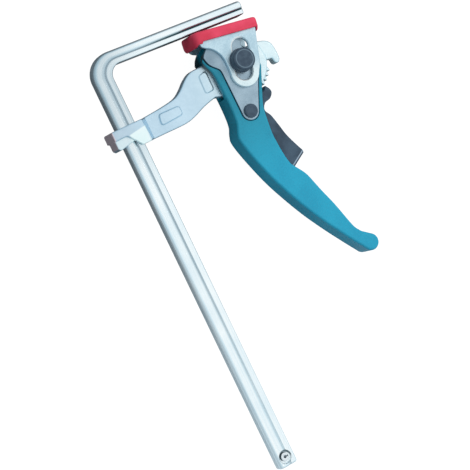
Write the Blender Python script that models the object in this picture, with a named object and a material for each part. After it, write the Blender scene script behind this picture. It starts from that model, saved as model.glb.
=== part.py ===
# Quick-action guide rail clamp, lying on its side.
# The bar runs along +Y from its free end at the origin to the fixed jaw, the sliding jaw's
# arm and lever lie towards +X, and +Z is the side that shows the pivot screw's head.
# The clamp's middle plane is z = 0. All sizes are in metres.

import math

import bmesh
import bpy
from mathutils import Matrix, Vector

MM = 0.001

# Bar and fixed jaw
BAR_WIDTH = 12.0 * MM
BAR_DEPTH = 9.0 * MM
BAR_LENGTH = 255.3 * MM
BAR_GROOVE_AT = 0.69
BAR_GROOVE_DEPTH = 0.8 * MM
BAR_FLANGE_DEPTH = 8.0 * MM
BAR_END_CHAMFER = 1.4 * MM
JAW_REACH = 98.0 * MM
JAW_HEIGHT = 8.7 * MM
JAW_DEPTH = 11.6 * MM
JAW_LEAN_DEG = 2.74
JAW_FACE_START = 19.7 * MM
BEND_OUTER_RADIUS = 14.0 * MM
BEND_INNER_RADIUS = 9.5 * MM
BEND_STEPS = 9

# Serrated clamping face of the fixed jaw
SERRATION_START = 52.0 * MM
SERRATION_PITCH = 1.9 * MM
SERRATION_DEPTH = 0.45 * MM
SERRATION_COUNT = 22

# Stop pin at the bar's free end
STOP_PIN_FROM_END = 5.9 * MM
STOP_PIN_RADIUS = 2.5 * MM
STOP_PIN_WALL = 0.9 * MM
STOP_PIN_SLIT_DEG = 30.0
STOP_RECESS_RADIUS = 4.0 * MM
STOP_RECESS_DEPTH = 2.4 * MM
STOP_PIN_BACK = 3.2 * MM

# Running clearance between pieces that slide or turn on each other
GAP = 0.3 * MM

# One unit of the outlines that are drawn point by point
OUTLINE_UNIT = 1.0 * MM

# Main pivot, measured from the bar's middle line and from the jaw face
PIVOT_X = 80.0 * MM
PIVOT_BELOW_JAW = 28.45 * MM
PIVOT_Y = BAR_LENGTH - PIVOT_BELOW_JAW

# Depths of the sliding jaw's casting, as half thicknesses
ARM_HALF = 3.6 * MM
ARM_PAD_HALF = 4.1 * MM
HUB_HALF = 4.2 * MM
RATCHET_HALF = 3.0 * MM
COLLAR_HALF = 8.5 * MM
COLLAR_LUG_HALF = 6.2 * MM
COLLAR_LEFT = 11.7 * MM
COLLAR_RIGHT = 8.7 * MM
COLLAR_SLOPE = 4.0 * MM
COLLAR_TOP = -6.05 * MM
COLLAR_BOTTOM = -20.0 * MM
COLLAR_CLEARANCE = 0.35 * MM

# Ratchet sector
HUB_RADIUS = 19.4 * MM
TOOTH_TIP_RADIUS = 21.7 * MM
TOOTH_COUNT = 6
TOOTH_PITCH_DEG = 8.4
TOOTH_FIRST_DEG = -78.0
BOSS_RADIUS = 11.4 * MM

# Pivot stack, built outwards from the hub
BUSH_RADIUS = 5.6 * MM
SCREW_RADIUS = 3.9 * MM
SCREW_HEAD_RADIUS = 6.9 * MM
SCREW_HEAD_HEIGHT = 6.3 * MM
SCREW_HEAD_CHAMFER = 1.7 * MM
SCREW_HEAD_RIM = 0.3 * MM
SCREW_END = 0.5 * MM
NUT_RADIUS = 7.2 * MM
NUT_HEIGHT = 4.8 * MM
WASHER_RADIUS = 7.6 * MM
WASHER_THICKNESS = 1.2 * MM
FORK_WALL = 1.8 * MM
PLATE_THICKNESS = 2.0 * MM
SHEET_THICKNESS = 2.2 * MM
LEVER_HALF = 8.0 * MM
LEVER_EDGE_ROUND = 2.0 * MM
LEVER_SPINE = 3.0 * MM
LEVER_TIP_RADIUS = 5.2 * MM

FORK_INNER = HUB_HALF + GAP
POCKET_FLOOR = FORK_INNER + FORK_WALL
PLATE_INNER = POCKET_FLOOR + GAP
PLATE_OUTER = PLATE_INNER + PLATE_THICKNESS
CHEEK_INNER = PLATE_OUTER + GAP
CHEEK_OUTER = CHEEK_INNER + SHEET_THICKNESS
HEAD_SEAT = CHEEK_OUTER + GAP

# Lever rivet, which is also the trigger's pivot
RIVET_X = -7.2 * MM
RIVET_Y = -29.3 * MM
RIVET_RADIUS = 2.5 * MM
RIVET_HEAD_RADIUS = 4.2 * MM
RIVET_HEAD_HEIGHT = 1.5 * MM
PLATE_END_RADIUS = 5.3 * MM
TRIGGER_HALF = FORK_INNER - GAP
TRIGGER_BOSS_HALF = 1.9 * MM
TRIGGER_BOSS_RADIUS = 4.9 * MM

# Trigger spring
SPRING_WIRE_RADIUS = 0.45 * MM
SPRING_TURNS = 1.5
SPRING_STEPS = 28
SPRING_SIDES = 8
SPRING_LEG = 4.2 * MM

# Swivelling shoe and its slip-on pad, tilted on the pivot as it hangs in the picture
SHOE_TILT_DEG = 8.2
SHOE_WEB_UNDER = 18.9 * MM
SHOE_LEFT = -22.4 * MM
SHOE_RIGHT = 16.1 * MM
SLOT_HALF_WIDTH = 5.3 * MM
SLOT_LEAN_DEG = 9.8
SLOT_ABOVE = 8.4 * MM
SLOT_BELOW = 6.2 * MM
SLOT_OFFSET = 1.1 * MM
PAD_WALL = 1.6 * MM
PAD_LEFT_WALL = 3.3 * MM
PAD_TOP = 1.7 * MM
PAD_FLANGE = 6.3 * MM
PAD_END_WALL = 9.1 * MM
PAD_TAB_HALF = 9.5 * MM
PAD_CORNER = 4.0 * MM
PAD_EDGE_ROUND = 1.1 * MM


def remove_old_objects():
    for item in list(bpy.data.objects):
        bpy.data.objects.remove(item, do_unlink=True)


def make_material(name, color, roughness, metallic):
    material = bpy.data.materials.new(name)
    material.use_nodes = True
    shader = material.node_tree.nodes["Principled BSDF"]
    shader.inputs["Base Color"].default_value = (*color, 1.0)
    shader.inputs["Roughness"].default_value = roughness
    shader.inputs["Metallic"].default_value = metallic
    material.diffuse_color = (*color, 1.0)
    return material


def add_object(name, mesh, material=None, smooth=True):
    mesh.validate()
    piece = bpy.data.objects.new(name, mesh)
    bpy.context.collection.objects.link(piece)
    if material is not None:
        mesh.materials.append(material)
    if smooth:
        mesh.shade_smooth()
        mesh.set_sharp_from_angle(angle=math.radians(32.0))
    return piece


def mesh_from_bmesh(name, shape):
    bmesh.ops.recalc_face_normals(shape, faces=shape.faces)
    mesh = bpy.data.meshes.new(name)
    shape.to_mesh(mesh)
    shape.free()
    return mesh


# Outlines
def polar(radius, degrees):
    angle = math.radians(degrees)
    return (radius * math.cos(angle), radius * math.sin(angle))


def arc(center, radius, start_deg, end_deg, steps):
    points = []
    for step in range(steps + 1):
        x, y = polar(radius, start_deg + (end_deg - start_deg) * step / steps)
        points.append((center[0] + x, center[1] + y))
    return points


def polar_points(*points):
    return [polar(radius * OUTLINE_UNIT, degrees) for radius, degrees in points]


def in_mm(*points):
    return [(x * OUTLINE_UNIT, y * OUTLINE_UNIT) for x, y in points]


def rounded(points, radius, step_deg=18.0):
    """Round every corner of a closed outline, with less where its sides are short."""
    result = []
    count = len(points)
    for index in range(count):
        corner = Vector(points[index])
        before = Vector(points[index - 1]) - corner
        after = Vector(points[(index + 1) % count]) - corner
        turn = math.pi - before.angle(after)
        if turn < math.radians(4.0) or radius == 0.0:
            result.append(tuple(corner))
            continue
        reach = radius * math.tan(turn / 2.0)
        limit = 0.45 * min(before.length, after.length)
        reach = min(reach, limit)
        start = corner + before.normalized() * reach
        end = corner + after.normalized() * reach
        steps = max(1, round(math.degrees(turn) / step_deg))
        for step in range(steps + 1):
            t = step / steps
            point = start * (1 - t) ** 2 + corner * 2 * t * (1 - t) + end * t ** 2
            result.append(tuple(point))
    return result


def prism(name, outline, low, high, material=None, at=(0.0, 0.0, 0.0), smooth=True):
    """A flat outline extruded from z = low to z = high."""
    shape = bmesh.new()
    ring = [shape.verts.new((x, y, low)) for x, y in outline]
    face = shape.faces.new(ring)
    lifted = bmesh.ops.extrude_face_region(shape, geom=[face])
    moved = [item for item in lifted["geom"] if isinstance(item, bmesh.types.BMVert)]
    bmesh.ops.translate(shape, verts=moved, vec=(0.0, 0.0, high - low))
    piece = add_object(name, mesh_from_bmesh(name, shape), material, smooth)
    piece.location = at
    return piece


def turned(name, profile, segments, material=None, at=(0.0, 0.0, 0.0)):
    """A profile of (radius, z) points, closed, spun round the z axis."""
    shape = bmesh.new()
    rings = []
    for step in range(segments):
        angle = 2.0 * math.pi * step / segments
        ring = []
        for radius, z in profile:
            ring.append(shape.verts.new((radius * math.cos(angle), radius * math.sin(angle), z)))
        rings.append(ring)
    count = len(profile)
    for step in range(segments):
        here = rings[step]
        there = rings[(step + 1) % segments]
        for index in range(count):
            after = (index + 1) % count
            shape.faces.new((here[index], there[index], there[after], here[after]))
    bmesh.ops.remove_doubles(shape, verts=shape.verts, dist=1e-7)
    piece = add_object(name, mesh_from_bmesh(name, shape), material)
    piece.location = at
    return piece


def rod(name, radius, low, high, segments=32, material=None, at=(0.0, 0.0, 0.0), chamfer=0.0):
    """A solid round bar on the z axis with chamfered ends."""
    profile = [(0.0, low), (radius - chamfer, low), (radius, low + chamfer)]
    profile += [(radius, high - chamfer), (radius - chamfer, high), (0.0, high)]
    if chamfer == 0.0:
        profile = [(0.0, low), (radius, low), (radius, high), (0.0, high)]
    shape = bmesh.new()
    ring = [shape.verts.new((r, 0.0, z)) for r, z in profile]
    edges = [shape.edges.new((ring[i], ring[i + 1])) for i in range(len(ring) - 1)]
    bmesh.ops.spin(shape, geom=ring + edges, cent=(0, 0, 0), axis=(0, 0, 1), angle=2 * math.pi,
                   steps=segments, use_duplicate=False)
    bmesh.ops.remove_doubles(shape, verts=shape.verts, dist=1e-7)
    piece = add_object(name, mesh_from_bmesh(name, shape), material)
    piece.location = at
    return piece


# Boolean and bevel modifiers
def as_cutter(piece):
    piece.hide_render = True
    piece.display_type = "WIRE"
    return piece


def combine(target, tool, operation):
    as_cutter(tool)
    modifier = target.modifiers.new(operation.lower() + " " + tool.name, "BOOLEAN")
    modifier.operation = operation
    modifier.solver = "EXACT"
    modifier.object = tool


def cut(target, tool):
    combine(target, tool, "DIFFERENCE")


def join(target, tool):
    combine(target, tool, "UNION")


def soften(target, width, segments, angle_deg=50.0):
    modifier = target.modifiers.new("edge rounding", "BEVEL")
    modifier.width = width
    modifier.segments = segments
    modifier.limit_method = "ANGLE"
    modifier.angle_limit = math.radians(angle_deg)
    modifier.use_clamp_overlap = True


# Bar: one drawn profile, bent once
def bar_section():
    """The profile as (share of the width from the outer edge, height above the middle)."""
    half = BAR_DEPTH / 2.0
    flange = BAR_FLANGE_DEPTH / 2.0
    groove = half - BAR_GROOVE_DEPTH
    upper = [
        (0.0, 0.28 * half), (0.02, 0.55 * half), (0.075, 0.8 * half), (0.16, 0.95 * half),
        (0.27, half), (0.45, half), (0.58, 0.97 * half), (0.65, 0.9 * half),
        (BAR_GROOVE_AT, groove), (BAR_GROOVE_AT + 0.03, groove),
        (BAR_GROOVE_AT + 0.055, flange), (0.94, flange), (1.0, 0.8 * flange),
    ]
    lower = [(share, -height) for share, height in reversed(upper)]
    return upper + lower


def bar_stations():
    """Pairs of outer and inner points along the bar, each with a depth factor and an inset."""
    half = BAR_WIDTH / 2.0
    lean = math.radians(JAW_LEAN_DEG)
    along = Vector((math.cos(lean), -math.sin(lean)))
    across = Vector((math.sin(lean), math.cos(lean)))
    face_start = Vector((JAW_FACE_START, BAR_LENGTH))
    sweep = 90.0 + JAW_LEAN_DEG
    deeper = JAW_DEPTH / BAR_DEPTH

    # centres of the two bends, each tangent to the bar's edge and to the jaw's edge
    inner_x = half + BEND_INNER_RADIUS
    inner_t = (inner_x + BEND_INNER_RADIUS * across.x - face_start.x) / along.x
    inner_center = face_start + along * inner_t - across * BEND_INNER_RADIUS
    inner_center.x = inner_x
    outer_x = -half + BEND_OUTER_RADIUS
    outer_line = face_start + across * JAW_HEIGHT
    outer_t = (outer_x + BEND_OUTER_RADIUS * across.x - outer_line.x) / along.x
    outer_center = outer_line + along * outer_t - across * BEND_OUTER_RADIUS
    outer_center.x = outer_x

    stations = []
    stations.append(((-half, 0.0), (half, 0.0), 1.0, BAR_END_CHAMFER))
    stations.append(((-half, BAR_END_CHAMFER), (half, BAR_END_CHAMFER), 1.0, 0.0))
    bend_start = min(inner_center.y, outer_center.y) - BAR_WIDTH
    stations.append(((-half, bend_start), (half, bend_start), 1.0, 0.0))
    for step in range(BEND_STEPS + 1):
        share = step / BEND_STEPS
        angle = 180.0 - sweep * share
        outer = Vector(polar(BEND_OUTER_RADIUS, angle)) + outer_center
        inner = Vector(polar(BEND_INNER_RADIUS, angle)) + inner_center
        stations.append((tuple(outer), tuple(inner), 1.0 + (deeper - 1.0) * share, 0.0))
    tip = face_start + along * ((JAW_REACH - face_start.x) / along.x)
    for back, inset in ((BAR_END_CHAMFER, 0.0), (0.0, BAR_END_CHAMFER)):
        inner = tip - along * back
        outer = inner + across * JAW_HEIGHT
        stations.append((tuple(outer), tuple(inner), deeper, inset))
    return stations


def make_bar(steel):
    section = bar_section()
    shape = bmesh.new()
    rings = []
    for outer, inner, depth, inset in bar_stations():
        outer = Vector(outer)
        inner = Vector(inner)
        width = (inner - outer).length
        shrink = 1.0 - 2.0 * inset / width
        flatten = 1.0 - 2.0 * inset / (BAR_DEPTH * depth)
        middle = (outer + inner) / 2.0
        ring = []
        for share, height in section:
            point = middle + (inner - outer) * (share - 0.5) * shrink
            ring.append(shape.verts.new((point.x, point.y, height * depth * flatten)))
        rings.append(ring)
    count = len(section)
    for here, there in zip(rings, rings[1:]):
        for index in range(count):
            after = (index + 1) % count
            shape.faces.new((here[index], here[after], there[after], there[index]))
    shape.faces.new(rings[0])
    shape.faces.new(rings[-1])
    bar = add_object("bar", mesh_from_bmesh("bar", shape), steel)

    at = (0.0, STOP_PIN_FROM_END, 0.0)
    hole = STOP_PIN_RADIUS + GAP
    cut(bar, rod("stop pin hole", hole, -BAR_DEPTH, BAR_DEPTH, 20, at=at))
    floor = BAR_DEPTH / 2.0 - STOP_RECESS_DEPTH
    cut(bar, rod("stop pin recess", STOP_RECESS_RADIUS, floor, BAR_DEPTH, 24, at=at))
    cut(bar, make_serrations())
    return bar


def make_serrations():
    """A comb of shallow V grooves across the fixed jaw's face."""
    outline = []
    start = SERRATION_START
    for index in range(SERRATION_COUNT):
        x = start + index * SERRATION_PITCH
        outline.append((x, -SERRATION_DEPTH))
        outline.append((x + SERRATION_PITCH / 2.0, SERRATION_DEPTH))
    outline.append((start + SERRATION_COUNT * SERRATION_PITCH, -SERRATION_DEPTH))
    comb = prism("jaw serrations", outline, -JAW_DEPTH, JAW_DEPTH, smooth=False)
    lean = math.radians(-JAW_LEAN_DEG)
    comb.rotation_euler = (0.0, 0.0, lean)
    comb.location = (0.0, BAR_LENGTH + JAW_FACE_START * math.tan(-lean), 0.0)
    return comb


def make_stop_pin(steel):
    """A rolled spring pin: a tube with a slit."""
    inner = STOP_PIN_RADIUS - STOP_PIN_WALL
    half_slit = STOP_PIN_SLIT_DEG / 2.0
    outline = arc((0.0, 0.0), STOP_PIN_RADIUS, half_slit, 360.0 - half_slit, 18)
    outline += arc((0.0, 0.0), inner, 360.0 - half_slit, half_slit, 14)
    top = BAR_DEPTH / 2.0 - 0.5 * MM
    bottom = -BAR_DEPTH / 2.0 - STOP_PIN_BACK
    at = (0.0, STOP_PIN_FROM_END, 0.0)
    return prism("bar_stop_pin", outline, bottom, top, steel, at=at)


# Sliding jaw: one forging with collar, arm, hub and ratchet sector
def ratchet_outline():
    """Saw teeth: the steep side of each faces the pawl as the lever opens."""
    outline = arc((0.0, 0.0), HUB_RADIUS - 3.0 * MM, TOOTH_FIRST_DEG + 51.0, TOOTH_FIRST_DEG, 5)
    for index in range(TOOTH_COUNT):
        start = TOOTH_FIRST_DEG + index * TOOTH_PITCH_DEG
        outline.append(polar(HUB_RADIUS, start))
        outline.append(polar(TOOTH_TIP_RADIUS, start + 0.6))
        outline.append(polar(TOOTH_TIP_RADIUS, start + 2.4))
    outline.append(polar(HUB_RADIUS, TOOTH_FIRST_DEG + TOOTH_COUNT * TOOTH_PITCH_DEG))
    return outline


def make_slider(zinc):
    at = (PIVOT_X, PIVOT_Y, 0.0)
    hook = in_mm((18.3, 6.6), (24.6, 4.0), (26.8, 1.2), (27.2, -4.3), (26.9, -9.0),
                 (24.3, -10.2), (22.6, -8.8), (22.6, -5.6), (18.4, -5.2))
    lower = arc((0.0, 0.0), HUB_RADIUS - 0.6 * MM, -18.0, -112.0, 10)
    arm = in_mm((-21.4, -13.2), (-29.6, -15.1), (-43.6, -19.8), (-72.0, -19.9),
                (-72.0, -6.2), (-45.6, -3.5), (-30.6, 6.1), (-25.0, 7.0))
    slider = prism("sliding_jaw", hook + lower + arm, -ARM_HALF, ARM_HALF, zinc, at=at)
    soften(slider, 0.7 * MM, 2)

    hub = arc((0.0, 0.0), HUB_RADIUS, -14.0, -118.0, 12)
    hub += in_mm((-13.6, -6.0), (-13.6, 5.6))
    hub += arc((0.0, 0.0), BOSS_RADIUS, 140.0, 30.0, 8) + in_mm((17.6, 4.4))
    join(slider, prism("hub step", hub, -HUB_HALF, HUB_HALF, at=at))
    join(slider, prism("ratchet teeth", ratchet_outline(), -RATCHET_HALF, RATCHET_HALF, at=at))

    long_pad = rounded(in_mm((-58.6, -8.6), (-45.6, -8.9), (-45.4, -13.4), (-59.8, -14.4)), 1.6 * MM)
    short_pad = rounded(in_mm((-26.0, 2.2), (-20.6, 3.6), (-20.6, -8.6), (-26.4, -9.0)), 1.6 * MM)
    for name, outline in (("long pad", long_pad), ("short pad", short_pad)):
        pad = prism(name, outline, -ARM_PAD_HALF, ARM_PAD_HALF, at=at)
        soften(pad, 0.35 * MM, 1)
        join(slider, pad)

    join(slider, make_collar(at))
    join(slider, make_collar_lug(at))
    room = COLLAR_CLEARANCE
    bore = box_between("bar passage",
                       (-BAR_WIDTH / 2 - room, BAR_LENGTH * 0.5, -BAR_DEPTH / 2 - room),
                       (BAR_WIDTH / 2 + room, BAR_LENGTH * 1.2, BAR_DEPTH / 2 + room))
    cut(slider, bore)
    cut(slider, rod("pivot bore", BUSH_RADIUS + GAP, -BAR_WIDTH, BAR_WIDTH, 32, at=at))
    return slider


def box_between(name, low, high):
    outline = [(low[0], low[1]), (high[0], low[1]), (high[0], high[1]), (low[0], high[1])]
    return prism(name, outline, low[2], high[2], smooth=False)


def make_collar(at):
    """The collar round the bar: a stepped block, cut to its skewed lower edge."""
    left = -PIVOT_X - COLLAR_LEFT
    shoulder = -PIVOT_X + COLLAR_RIGHT
    foot = shoulder + COLLAR_SLOPE
    # drawn in plan as (x, z), then turned up so that it is extruded along y
    outline = [(left, -COLLAR_HALF), (shoulder, -COLLAR_HALF), (foot, -ARM_HALF + 0.2 * MM),
               (foot, ARM_HALF - 0.2 * MM), (shoulder, COLLAR_HALF), (left, COLLAR_HALF)]
    collar = prism("collar block", outline, COLLAR_BOTTOM, COLLAR_TOP)
    collar.data.transform(Matrix(((1, 0, 0, 0), (0, 0, 1, 0), (0, -1, 0, 0), (0, 0, 0, 1))))
    collar.location = at
    soften(collar, 0.8 * MM, 2, 60.0)
    skew = in_mm((-95.0, -12.0), (-84.4, -11.5), (-83.2, -11.8), (-75.6, -20.4), (-75.6, -24.0),
                 (-95.0, -24.0))
    cut(collar, prism("skewed lower edge", skew, -2 * COLLAR_HALF, 2 * COLLAR_HALF, at=at))
    for side in (1, -1):
        facet = [(-10.9 * MM, side * COLLAR_HALF), (-21.0 * MM, side * (COLLAR_HALF - 1.8 * MM)),
                 (-21.0 * MM, side * COLLAR_HALF * 1.3), (-10.9 * MM, side * COLLAR_HALF * 1.3)]
        wedge = prism("lower facet", facet, -83.0 * MM, -60.0 * MM)
        wedge.data.transform(Matrix(((0, 0, 1, 0), (1, 0, 0, 0), (0, 1, 0, 0), (0, 0, 0, 1))))
        wedge.location = at
        cut(collar, wedge)
    return collar


def make_collar_lug(at):
    """The lower lip that backs the bar, a step lower than the collar."""
    outline = in_mm((-91.2, -10.4), (-80.6, -10.4), (-79.8, -12.4), (-79.6, -15.8), (-89.8, -17.9),
                    (-91.2, -16.4))
    lug = prism("collar lug", outline, -COLLAR_LUG_HALF, COLLAR_LUG_HALF, at=at)
    soften(lug, 0.6 * MM, 2, 60.0)
    return lug


# Pivot screw, nut, washer and bush
def make_screw(black):
    at = (PIVOT_X, PIVOT_Y, 0.0)
    top = HEAD_SEAT + SCREW_HEAD_HEIGHT
    rim = SCREW_HEAD_RADIUS - SCREW_HEAD_CHAMFER
    bottom = -HEAD_SEAT - WASHER_THICKNESS - GAP - NUT_HEIGHT - SCREW_END
    neck = SCREW_HEAD_RADIUS - SCREW_HEAD_RIM
    flange = HEAD_SEAT + 3.0 * SCREW_HEAD_RIM
    profile = [(0.0, bottom), (SCREW_RADIUS - 0.6 * MM, bottom), (SCREW_RADIUS, bottom + 0.6 * MM),
               (SCREW_RADIUS, HEAD_SEAT), (neck, HEAD_SEAT),
               (SCREW_HEAD_RADIUS, HEAD_SEAT + SCREW_HEAD_RIM), (SCREW_HEAD_RADIUS, flange),
               (neck, flange + SCREW_HEAD_RIM), (neck, top - 0.8 * MM), (neck - 0.5 * MM, top - 0.3 * MM),
               (rim, top), (0.0, top)]
    return spun("pivot_screw", profile, 40, black, at)


def spun(name, profile, segments, material, at):
    """An open profile that starts and ends on the z axis, spun round it."""
    shape = bmesh.new()
    ring = [shape.verts.new((r, 0.0, z)) for r, z in profile]
    edges = [shape.edges.new((ring[i], ring[i + 1])) for i in range(len(ring) - 1)]
    bmesh.ops.spin(shape, geom=ring + edges, cent=(0, 0, 0), axis=(0, 0, 1), angle=2 * math.pi,
                   steps=segments, use_duplicate=False)
    bmesh.ops.remove_doubles(shape, verts=shape.verts, dist=1e-7)
    piece = add_object(name, mesh_from_bmesh(name, shape), material)
    piece.location = at
    return piece


def make_nut(steel):
    at = (PIVOT_X, PIVOT_Y, 0.0)
    high = -HEAD_SEAT - WASHER_THICKNESS - GAP
    low = high - NUT_HEIGHT
    outline = arc((0.0, 0.0), NUT_RADIUS, 0.0, 300.0, 5)
    nut = prism("pivot_nut", outline, low, high, steel, at=at)
    soften(nut, 0.5 * MM, 1)
    cut(nut, rod("nut thread hole", SCREW_RADIUS + 0.1 * MM, low - MM, high + MM, 24, at=at))
    return nut


def ring_profile(inner, outer, low, high, edge=0.0):
    if edge == 0.0:
        return [(inner, low), (outer, low), (outer, high), (inner, high)]
    return [(inner, low), (outer - edge, low), (outer, low + edge), (outer, high - edge),
            (outer - edge, high), (inner, high)]


def make_washer(steel):
    high = -HEAD_SEAT
    profile = ring_profile(SCREW_RADIUS + GAP, WASHER_RADIUS, high - WASHER_THICKNESS, high,
                           0.3 * MM)
    return turned("pivot_washer", profile, 36, steel, (PIVOT_X, PIVOT_Y, 0.0))


def make_bush(bronze):
    profile = ring_profile(SCREW_RADIUS + GAP, BUSH_RADIUS, -POCKET_FLOOR, POCKET_FLOOR)
    return turned("pivot_bush", profile, 32, bronze, (PIVOT_X, PIVOT_Y, 0.0))


# Lever: one die casting, a channel that opens away from the bar, forked round the hub
def lever_outline():
    """Outer edge of the lever, from the fork's top down the bar side and back up."""
    head = polar_points((13.4, -20.0), (10.6, 0.0), (9.0, 20.0), (8.8, 48.0), (9.8, 57.0),
                        (11.8, 61.0), (13.2, 67.0), (13.8, 78.0), (17.2, 100.0), (20.6, 120.0),
                        (21.8, 138.0), (22.8, 150.0), (23.0, 160.0))
    bar_side = in_mm((-18.4, 0.2), (-17.7, -8.0), (-17.5, -22.0), (-18.2, -34.0), (-20.6, -38.6),
                     (-21.2, -42.6), (-18.4, -54.0), (-12.9, -70.5), (-7.4, -83.2), (0.1, -98.2),
                     (8.3, -112.0), (17.0, -125.2))
    tip = arc(in_mm((27.9, -131.9))[0], LEVER_TIP_RADIUS, 214.5, 420.0, 10)
    open_side = in_mm((25.0, -122.8), (22.6, -119.4), (20.6, -113.6), (17.1, -101.6),
                      (12.9, -89.8), (9.9, -80.4), (7.8, -75.8), (4.2, -70.6), (2.2, -67.6),
                      (0.9, -60.5), (0.2, -52.0), (0.0, -46.4), (1.6, -34.6), (2.9, -28.3),
                      (8.2, -16.6), (12.4, -7.4))
    return head + bar_side + tip + open_side


def channel_outline():
    """The lever's hollow: no wall round the hub, then a spine on the bar side."""
    spine = in_mm((-60.0, 60.0), (-60.0, -16.5), (-17.6, -16.5), (-17.5, -22.0), (-18.2, -34.0),
                  (-21.2, -41.6), (-18.4, -54.0), (-12.9, -70.5), (-7.4, -83.2), (0.1, -98.2),
                  (8.0, -111.4))
    inner = []
    for index, (x, y) in enumerate(spine):
        inner.append((x + LEVER_SPINE, y) if index > 1 else (x, y))
    return inner + in_mm((16.0, -115.6), (60.0, -100.0), (60.0, 60.0))


def plate_outline(margin=0.0):
    """Cam plate: a lobe beside the pivot and a straight leg down to the rivet."""
    rivet = (RIVET_X, RIVET_Y)
    leg_end = arc(rivet, PLATE_END_RADIUS + margin, 332.0, 180.0, 9)
    grow = 1.0 + margin / (20.0 * MM)
    lobe = [(x * grow, y * grow) for x, y in in_mm((-12.9, -2.2), (-13.6, 0.6), (-17.6, 4.6),
                                                   (-19.2, 7.8), (-19.8, 10.6))]
    return leg_end, lobe


def cam_plate_shape():
    leg_end, lobe = plate_outline()
    crest = polar_points((22.4, 148.0), (21.8, 138.0), (20.8, 120.0), (16.6, 100.0), (13.8, 78.0),
                         (13.4, 67.0), (12.2, 60.0), (10.0, 56.5), (8.6, 46.0), (8.6, 20.0),
                         (9.6, 0.0), (11.2, -18.0), (12.4, -38.0))
    return leg_end + lobe + crest + in_mm((5.4, -15.5))


def pocket_shape():
    margin = GAP + 0.15 * MM
    leg_end, lobe = plate_outline(margin)
    outside = in_mm((-32.0, 10.0), (-32.0, 40.0), (32.0, 40.0), (32.0, -2.0), (12.6, -2.0),
                    (9.9, -8.2), (6.0, -15.9))
    return leg_end + lobe + outside


def make_lever(paint):
    at = (PIVOT_X, PIVOT_Y, 0.0)
    lever = prism("lever", lever_outline(), -LEVER_HALF, LEVER_HALF, paint, at=at)
    soften(lever, LEVER_EDGE_ROUND, 3)
    cut(lever, prism("lever channel", channel_outline(), -FORK_INNER, FORK_INNER, at=at))
    for side, name in ((1, "front"), (-1, "back")):
        low, high = sorted((side * POCKET_FLOOR, side * LEVER_HALF * 1.5))
        cut(lever, prism("cam pocket " + name, pocket_shape(), low, high, at=at))
    cut(lever, rod("fork bore", BUSH_RADIUS + GAP, -LEVER_HALF, LEVER_HALF, 32, at=at))
    rivet_at = (PIVOT_X + RIVET_X, PIVOT_Y + RIVET_Y, 0.0)
    cut(lever, rod("lever rivet hole", RIVET_RADIUS + GAP, -LEVER_HALF, LEVER_HALF, 20, at=rivet_at))
    return lever


def make_cam_plate(name, side, steel):
    at = (PIVOT_X, PIVOT_Y, 0.0)
    low, high = sorted((side * PLATE_INNER, side * PLATE_OUTER))
    plate = prism(name, cam_plate_shape(), low, high, steel, at=at)
    soften(plate, 0.3 * MM, 1)
    cut(plate, rod(name + " bore", SCREW_RADIUS + GAP, low - MM, high + MM, 28, at=at))
    rivet_at = (PIVOT_X + RIVET_X, PIVOT_Y + RIVET_Y, 0.0)
    cut(plate, rod(name + " rivet hole", RIVET_RADIUS + GAP, low - MM, high + MM, 20, at=rivet_at))
    return plate


def make_rivet(black):
    at = (PIVOT_X + RIVET_X, PIVOT_Y + RIVET_Y, 0.0)
    seat = PLATE_OUTER + GAP
    top = seat + RIVET_HEAD_HEIGHT
    rim = RIVET_HEAD_RADIUS - 0.9 * MM
    half = [(RIVET_RADIUS, seat), (RIVET_HEAD_RADIUS, seat), (RIVET_HEAD_RADIUS, top - 0.6 * MM),
            (rim, top), (0.0, top)]
    other = [(r, -z) for r, z in reversed(half)]
    return spun("lever_rivet", other + half, 28, black, at)


# Trigger: finger plate and pawl in one piece, on the lever rivet
def make_trigger(black):
    at = (PIVOT_X + RIVET_X, PIVOT_Y + RIVET_Y, 0.0)
    outline = in_mm((10.4, -19.6), (12.2, -22.2), (12.4, -24.8), (9.8, -27.6), (5.6, -28.6),
                    (3.0, -32.8), (5.9, -37.0), (7.6, -44.2), (9.4, -51.6), (12.5, -59.3),
                    (15.0, -64.4), (14.6, -65.5), (4.6, -71.2), (-0.6, -66.4), (-4.8, -55.0),
                    (-8.8, -42.0), (-11.6, -34.0))
    boss = arc((RIVET_X, RIVET_Y), TRIGGER_BOSS_RADIUS, 190.0, 80.0, 6)
    outline = outline + boss + in_mm((-2.6, -23.6), (3.0, -22.8), (8.6, -21.6))
    outline = [(x - RIVET_X, y - RIVET_Y) for x, y in outline]
    trigger = prism("trigger", outline, -TRIGGER_HALF, TRIGGER_HALF, black, at=at)
    soften(trigger, 0.6 * MM, 2)
    ledge = rod("spring seat", TRIGGER_BOSS_RADIUS + 1.0 * MM, TRIGGER_BOSS_HALF, LEVER_HALF, 28, at=at)
    cut(trigger, ledge)
    cut(trigger, rod("trigger bore", RIVET_RADIUS + GAP, -LEVER_HALF, LEVER_HALF, 20, at=at))
    return trigger


def spring_path():
    """A leg, the coil round the rivet beside the trigger's boss, and the other leg."""
    radius = RIVET_RADIUS + GAP + SPRING_WIRE_RADIUS + 0.25 * MM
    low = TRIGGER_BOSS_HALF + GAP + SPRING_WIRE_RADIUS
    rise = FORK_INNER - GAP - SPRING_WIRE_RADIUS - low
    points = [Vector((radius, -SPRING_LEG, low))]
    for step in range(SPRING_STEPS + 1):
        share = step / SPRING_STEPS
        x, y = polar(radius, 360.0 * SPRING_TURNS * share)
        points.append(Vector((x, y, low + rise * share)))
    points.append(Vector((-radius, -SPRING_LEG, low + rise)))
    return points


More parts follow.
